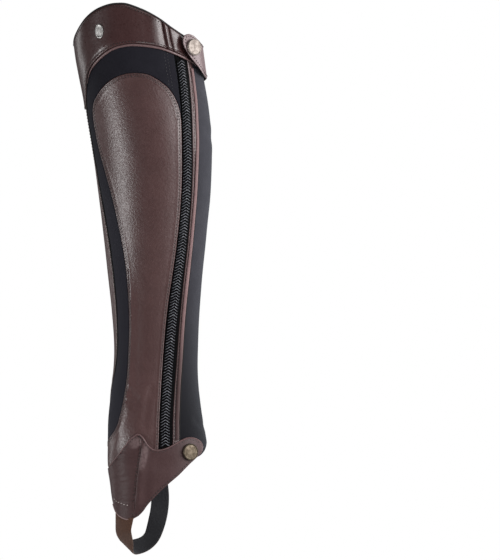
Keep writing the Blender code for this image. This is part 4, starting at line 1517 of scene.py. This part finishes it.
SNAP_PROFILE = [
    # radius, height, as shares of the cap's own
    (0.90, -0.12), (0.98, 0.02), (1.0, 0.22), (0.995, 0.50), (0.965, 0.72), (0.92, 0.82),
    (0.875, 0.78), (0.845, 0.68), (0.81, 0.66), (0.70, 0.72), (0.50, 0.78), (0.28, 0.82),
    (0.10, 0.83),
]


SNAP_CORNERS = 56
SNAP_SEAT = 0.3


def snap(name, cad_node, spot, face, metal, tilt=0.0):
    """The cap of a snap: a rolled rim round a low dome."""
    centre = flat(spot)
    reach = SNAP_RADIUS / 2
    offsets = np.array([(reach, 0.0), (-reach, 0.0), (0.0, reach), (0.0, -reach)])
    right, left, above, below = [Vector(p) for p in skin(centre + offsets, face(centre + offsets))]
    out = (right - left).cross(above - below).normalized()
    one = centre[None]
    place = Vector(skin(one, face(one) + SNAP_SEAT)[0])
    square = Vector((0.0, 0.0, 1.0)).rotation_difference(out).to_matrix()
    leaning = Matrix.Rotation(-math.radians(tilt), 3, "Z") @ square
    raised = place + out * (math.sin(math.radians(tilt)) * SNAP_RADIUS)
    points = []
    for radius, height in SNAP_PROFILE:
        start, turned = (place, square) if height <= 0.0 else (raised, leaning)
        for angle in circle(SNAP_CORNERS):
            spoke = Vector((math.cos(angle), math.sin(angle), 0.0)) * radius * SNAP_RADIUS
            spoke.z = height * SNAP_HEIGHT
            points.append(tuple(start + turned @ spoke))
    faces = rings_to_faces(len(SNAP_PROFILE), SNAP_CORNERS)
    made = make_object(name, "snap_metal", points, faces, [metal], sharp=40.0)
    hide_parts(cad_node)


# ---------------- ankle

FLAP_EDGE = (-0.1, LAP + FLAP_WALL * 0.7, 0.75, 0.9)  # centre across and out, half sizes
FLAP_ROW = 1.7
FINE_CREASES = 9
FINE_CREASE_TOP = -292.0
FINE_CREASE_PITCH = 6.3


def fine_creases():
    """Creases across the flap's front piece, where the foot bends."""
    creases = []
    for number in range(FINE_CREASES):
        height = FINE_CREASE_TOP - number * FINE_CREASE_PITCH
        lean = 2.5 * (number % 3 - 1)
        start = 26 + 3 * number % 11
        course = [(start, height - 2.5), (44, height + lean * 0.3), (60, height + 1.5 + lean * 0.4)]
        creases.append((1.0, 0.38, course))
    return creases


def ankle_flap():
    """The flap's two pieces, creased where the foot bends, with a bound edge."""
    seam_line = trace(FLAP_SEAM)
    front_top = trace(FLAP_FRONT_TOP)
    front_low = trace(FLAP_FRONT_LOW)
    rear_low = trace(FLAP_REAR_LOW)
    rear_top = trace(FLAP_REAR_TOP)
    front_creases = fine_creases()

    def front_relief(points):
        rise = LAP + FLAP_WALL * ease(turns_of(points), 0.0, 34.0) + waves(points, 30.0, 31, 0.12)
        rise += groove(points, beside(front_top, FLAP_ROW), 0.8, 0.3)
        rise += groove(points, seam_line, 0.9, 0.3) * ease(points[:, 1], -345.0, -310.0)
        return creased(rise, points, front_creases)

    def rear_relief(points):
        rise = LAP + FLAP_WALL + waves(points, 36.0, 32, 0.15)
        rise += groove(points, beside(rear_top, FLAP_ROW), 0.8, 0.3)
        return creased(rise, points, FLAP_CREASES)

    front_loop = outline(front_low, seam_line[::-1], front_top)
    rear_loop = outline(rear_low, rear_top, seam_line)
    under = (at(LAP), FLAP_SIDES)
    front = panel(
        "flap_forward", "leather", front_loop, front_relief, *under, grid=1.7, gap=0.03, roll=0.45
    )
    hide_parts("flap_front")
    rear = panel(
        "flap_back", "leather", rear_loop, rear_relief, *under, grid=2.0, gap=0.03, roll=0.45
    )
    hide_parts("flap_rear")
    profile = round_profile(*FLAP_EDGE, 8)
    # Only the flap's top edges get the pale trim: painted highlight for light from above.
    edge = cord_points(np.vstack([rear_top[:-1], front_top[:-14]]), profile)
    piping = make_object("flap_edge", "leather", *edge, [BROWN_TRIM])
    # The flap's lower tip gets a pale edge: painted highlight.
    tip = cord_points(front_low[-26:], profile)
    low_edge = make_object("flap_low_edge", "leather", *tip, [HIGHLIGHT_EDGE])
    rows = [
        stitch_row(beside(seam_line, -1.5), rear_relief),
        stitch_row(beside(rear_top[12:], FLAP_ROW), rear_relief),
        stitch_row(beside(front_top[:-16], FLAP_ROW), front_relief),
        stitch_row(beside(rear_low, 2.0), rear_relief),
    ]
    sewing = make_object("flap_sewing", "leather", *joined(rows), [THREAD])
    tack = trace([(27.0, -338.0), (33.5, -340.9), (43.7, -343.8), (50.0, -344.8)])
    tacks = stitch_row(tack, lambda points: front_relief(points) + 0.2, 0.5, 1.9)
    tacking = make_object("flap_tacking", "leather", *tacks, [THREAD_LIGHT])
    declare(front, with_pieces=[tacking, piping, low_edge])
    declare(rear, with_pieces=[sewing])


def strap_course():
    """The strap's middle line laid flat, as places and ways along."""
    place = Vector(STRAP_START)
    way = Vector((0.0, -1.0))
    course = [(place.copy(), way.copy())]
    for length, bend in STRAP_COURSE:
        steps = round(length / STRAP_STEP)
        half_bend = Matrix.Rotation(-math.radians(bend) / steps / 2, 2)
        for _ in range(steps):
            way.rotate(half_bend)
            place += way * (length / steps)
            way.rotate(half_bend)
            course.append((place.copy(), way.copy()))
    return course


def strap_place(spots, shares):
    """Where points of the flat strap go, once it is rolled over at its fold."""
    fold_at = np.array(STRAP_FOLD)
    fold_way = np.array([1.0, -1.0]) / math.sqrt(2.0)
    past_way = np.array([-1.0, -1.0]) / math.sqrt(2.0)
    along = (spots - fold_at) @ fold_way
    past = (spots - fold_at) @ past_way
    angle = np.clip(past / STRAP_ROLL, 0.0, math.pi)
    rolled = np.where(past > 0.0, STRAP_ROLL * np.sin(angle), past)
    past = np.where(past > math.pi * STRAP_ROLL, math.pi * STRAP_ROLL - past, rolled)
    seen = fold_at + along[:, None] * fold_way + past[:, None] * past_way
    middle = STRAP_DEPTHS[0] + (STRAP_DEPTHS[1] - STRAP_DEPTHS[0]) * ease(shares, 0.0, 1.0)
    free = middle - STRAP_ROLL * np.cos(angle)
    outer = -skin_depth(seen[:, 0], seen[:, 1], OUTER_END_LIFT)
    inner = skin_depth(seen[:, 0], seen[:, 1], INNER_END_LIFT)
    depth = outer + (free - outer) * ease(shares, *STRAP_OUTER_HOLD)
    depth += (inner - depth) * ease(shares, *STRAP_INNER_HOLD)
    return np.column_stack([seen[:, 0], depth, seen[:, 1]])


def strap_faces(rows, columns):
    """Faces of two grids of points, back to back, with walls between their edges."""
    size = rows * columns
    corner = np.arange(size).reshape(rows, columns)
    quads = [corner[:-1, :-1], corner[:-1, 1:], corner[1:, 1:], corner[1:, :-1]]
    quads = np.column_stack([part.ravel() for part in quads])
    rim = [corner[:, 0], corner[-1, 1:], corner[-2::-1, -1], corner[0, -2:0:-1]]
    rim = np.concatenate(rim)
    after = np.roll(rim, -1)
    walls = np.column_stack([after, rim, rim + size, after + size])
    slots = np.repeat([0, 1, 0], [len(quads), len(quads), len(walls)])
    return np.vstack([quads[:, ::-1], quads + size, walls]).tolist(), slots


def foot_strap():
    """Ribbed elastic: brown on its face, black on its back."""
    course = strap_course()
    count = len(course)
    columns = STRAP_COLUMNS + 1
    offsets = (np.arange(columns) / STRAP_COLUMNS - 0.5) * STRAP_WIDTH
    share = np.arange(count) / (count - 1)
    lean = np.radians(STRAP_LEAN) * ease(share, *STRAP_TIPS) * ease(share, *STRAP_RIGHTS)
    hinge = (ease(share, *STRAP_HINGE) - 0.5) * STRAP_WIDTH
    off = offsets - hinge[:, None]
    across = hinge[:, None] + off * np.cos(lean)[:, None]
    places = np.array([tuple(place) for place, _ in course])
    sideways = np.array([(-way.y, way.x) for _, way in course])
    spots = places[:, None] + sideways[:, None] * across[..., None]
    shares = np.repeat(share, columns)
    grid = strap_place(spots.reshape(-1, 2), shares).reshape(count, -1, 3)
    grid[..., 1] -= off * np.sin(lean)[:, None]
    normal = unit(np.cross(np.gradient(grid, axis=0), np.gradient(grid, axis=1)))
    thin = np.full(columns, STRAP_WALL / 2)
    thin[[0, -1]] *= STRAP_EDGE
    half = normal * thin[None, :, None]
    points = np.vstack([side.reshape(-1, 3) for side in (grid + half, grid - half)])
    length = np.repeat(lengths_of(grid[:, columns // 2]), columns)
    facts = np.column_stack([np.tile(offsets, count), length, np.zeros(len(length))])
    faces, slots = strap_faces(count, columns)
    made = make_object(
        "elastic_strap",
        "elastic",
        points,
        faces,
        [ELASTIC_BROWN, ELASTIC_BLACK],
        slots,
        np.tile(facts, (2, 1)),
    )
    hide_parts("foot_strap")


# ---------------- camera, light and floor

SCALE = 0.97  # mm for each pixel of the photograph, at the leg's outer side
FRAME_SIZE = (500, 560)
ORIGIN_PIXEL = (152.0, 150.0)
NEAR_SIDE = -35.0
DISTANCE = 12.0
SENSOR = 36.0
FLOOR_HEIGHT = -0.75
FLOOR_REACH = 6.0


def camera():
    """A long lens, level with the middle of the frame."""
    data = bpy.data.cameras.new("camera")
    data.sensor_width = SENSOR
    data.lens = SENSOR * DISTANCE / (FRAME_SIZE[1] * SCALE * MM)
    data.clip_start = 0.1
    data.clip_end = 100.0
    made = placed("camera", data)
    x = (FRAME_SIZE[0] / 2 - ORIGIN_PIXEL[0]) * SCALE * MM
    z = (ORIGIN_PIXEL[1] - FRAME_SIZE[1] / 2) * SCALE * MM
    made.location = (x, NEAR_SIDE * MM - DISTANCE, z)
    made.rotation_euler = (math.radians(90.0), 0.0, 0.0)
    bpy.context.scene.camera = made


# Soft boxes: name, azimuth (0 is the camera's side and 90 the calf's), elevation, distance,
# width and height in m, and power in W.
LIGHTS = [
    ("key_left", -66.0, -10.1, 1.6, 0.26, 0.40, 11.0),
    ("fill_right", 30.0, 8.0, 2.2, 1.1, 1.2, 10.0),
    ("key_right", 62.0, 8.0, 2.0, 1.3, 0.9, 46.0),
    ("side_right", 115.0, 5.0, 1.8, 1.1, 1.4, 21.0),
    ("rim_left", -125.0, 0.0, 2.0, 0.5, 1.4, 6.0),
    ("front", 6.0, 42.0, 2.4, 1.2, 0.8, 12.0),
    ("behind", 180.0, 30.0, 2.2, 1.6, 0.8, 14.0),
]
LIT = Vector((0.0, 0.0, -0.1))


def area_light(name, azimuth, elevation, distance, width, height, power):
    """A soft box that faces the leg."""
    data = bpy.data.lights.new(name, "AREA")
    data.shape = "RECTANGLE"
    data.size = width
    data.size_y = height
    data.energy = power
    made = placed(name, data)
    a = math.radians(azimuth)
    e = math.radians(elevation)
    way = Vector((math.sin(a) * math.cos(e), -math.cos(a) * math.cos(e), math.sin(e)))
    made.location = LIT + way * distance
    made.rotation_euler = way.to_track_quat("Z", "Y").to_euler()


WHITE = (1.0, 1.0, 1.0)
WORLD_LIGHT = 0.12


def studio():
    """Soft boxes round the leg, and surroundings that are white to the eye but dim."""
    for light in LIGHTS:
        area_light(*light)
    world = bpy.data.worlds.new("studio")
    world.use_nodes = True
    tree = world.node_tree
    dim = tree.nodes["Background"]
    feed(tree, dim, Color=WHITE, Strength=WORLD_LIGHT)
    seen = node(tree, "ShaderNodeBackground", Color=WHITE, Strength=1.0)
    ray = node(tree, "ShaderNodeLightPath")
    mix = node(tree, "ShaderNodeMixShader")
    parts = (ray.outputs["Is Camera Ray"], dim.outputs[0], seen.outputs[0])
    for socket, part in zip(mix.inputs, parts):
        join(tree, socket, part)
    feed(tree, tree.nodes["World Output"], Surface=mix.outputs[0])
    bpy.context.scene.world = world
    bpy.context.scene.view_settings.view_transform = "Standard"


def floor():
    """A pale sheet well below the foot."""
    mesh = bpy.data.meshes.new("floor")
    corners = [(-1, -1), (1, -1), (1, 1), (-1, 1)]
    points = [(x * FLOOR_REACH, y * FLOOR_REACH, FLOOR_HEIGHT) for x, y in corners]
    mesh.from_pydata(points, [], [(0, 1, 2, 3)])
    made, tree, shader = new_material("pale_floor", (0.50, 0.50, 0.49), 0.8)
    soft = noise(tree, place_of(tree), 2.0, 2.0)
    feed(tree, shader, Base_Color=mix_colour(tree, soft, (0.46, 0.46, 0.45), (0.52, 0.52, 0.51)))
    mesh.materials.append(made)
    plain = placed("floor", mesh)


# ---------------- build

camera()
studio()
floor()
inner_panel()
stretch_panel()
leather_panel()
back_panel()
zip_tapes()
zip_binding()
band_pieces()
band_inner_piece()
band_trim()
plate()
# The tab's snap gets the paler brass: painted highlight.
snap(
    "tab_snap",
    "snap_cap_top",
    TOP_SNAP,
    lambda points: band_inner_lift(points) + BAND_WALL,
    BRASS_PAINTED_LIT,
    TOP_SNAP_TILT,
)
ankle_flap()
snap("ankle_snap", "snap_cap_ankle", ANKLE_SNAP, at(LAP + FLAP_WALL), BRASS)
foot_strap()
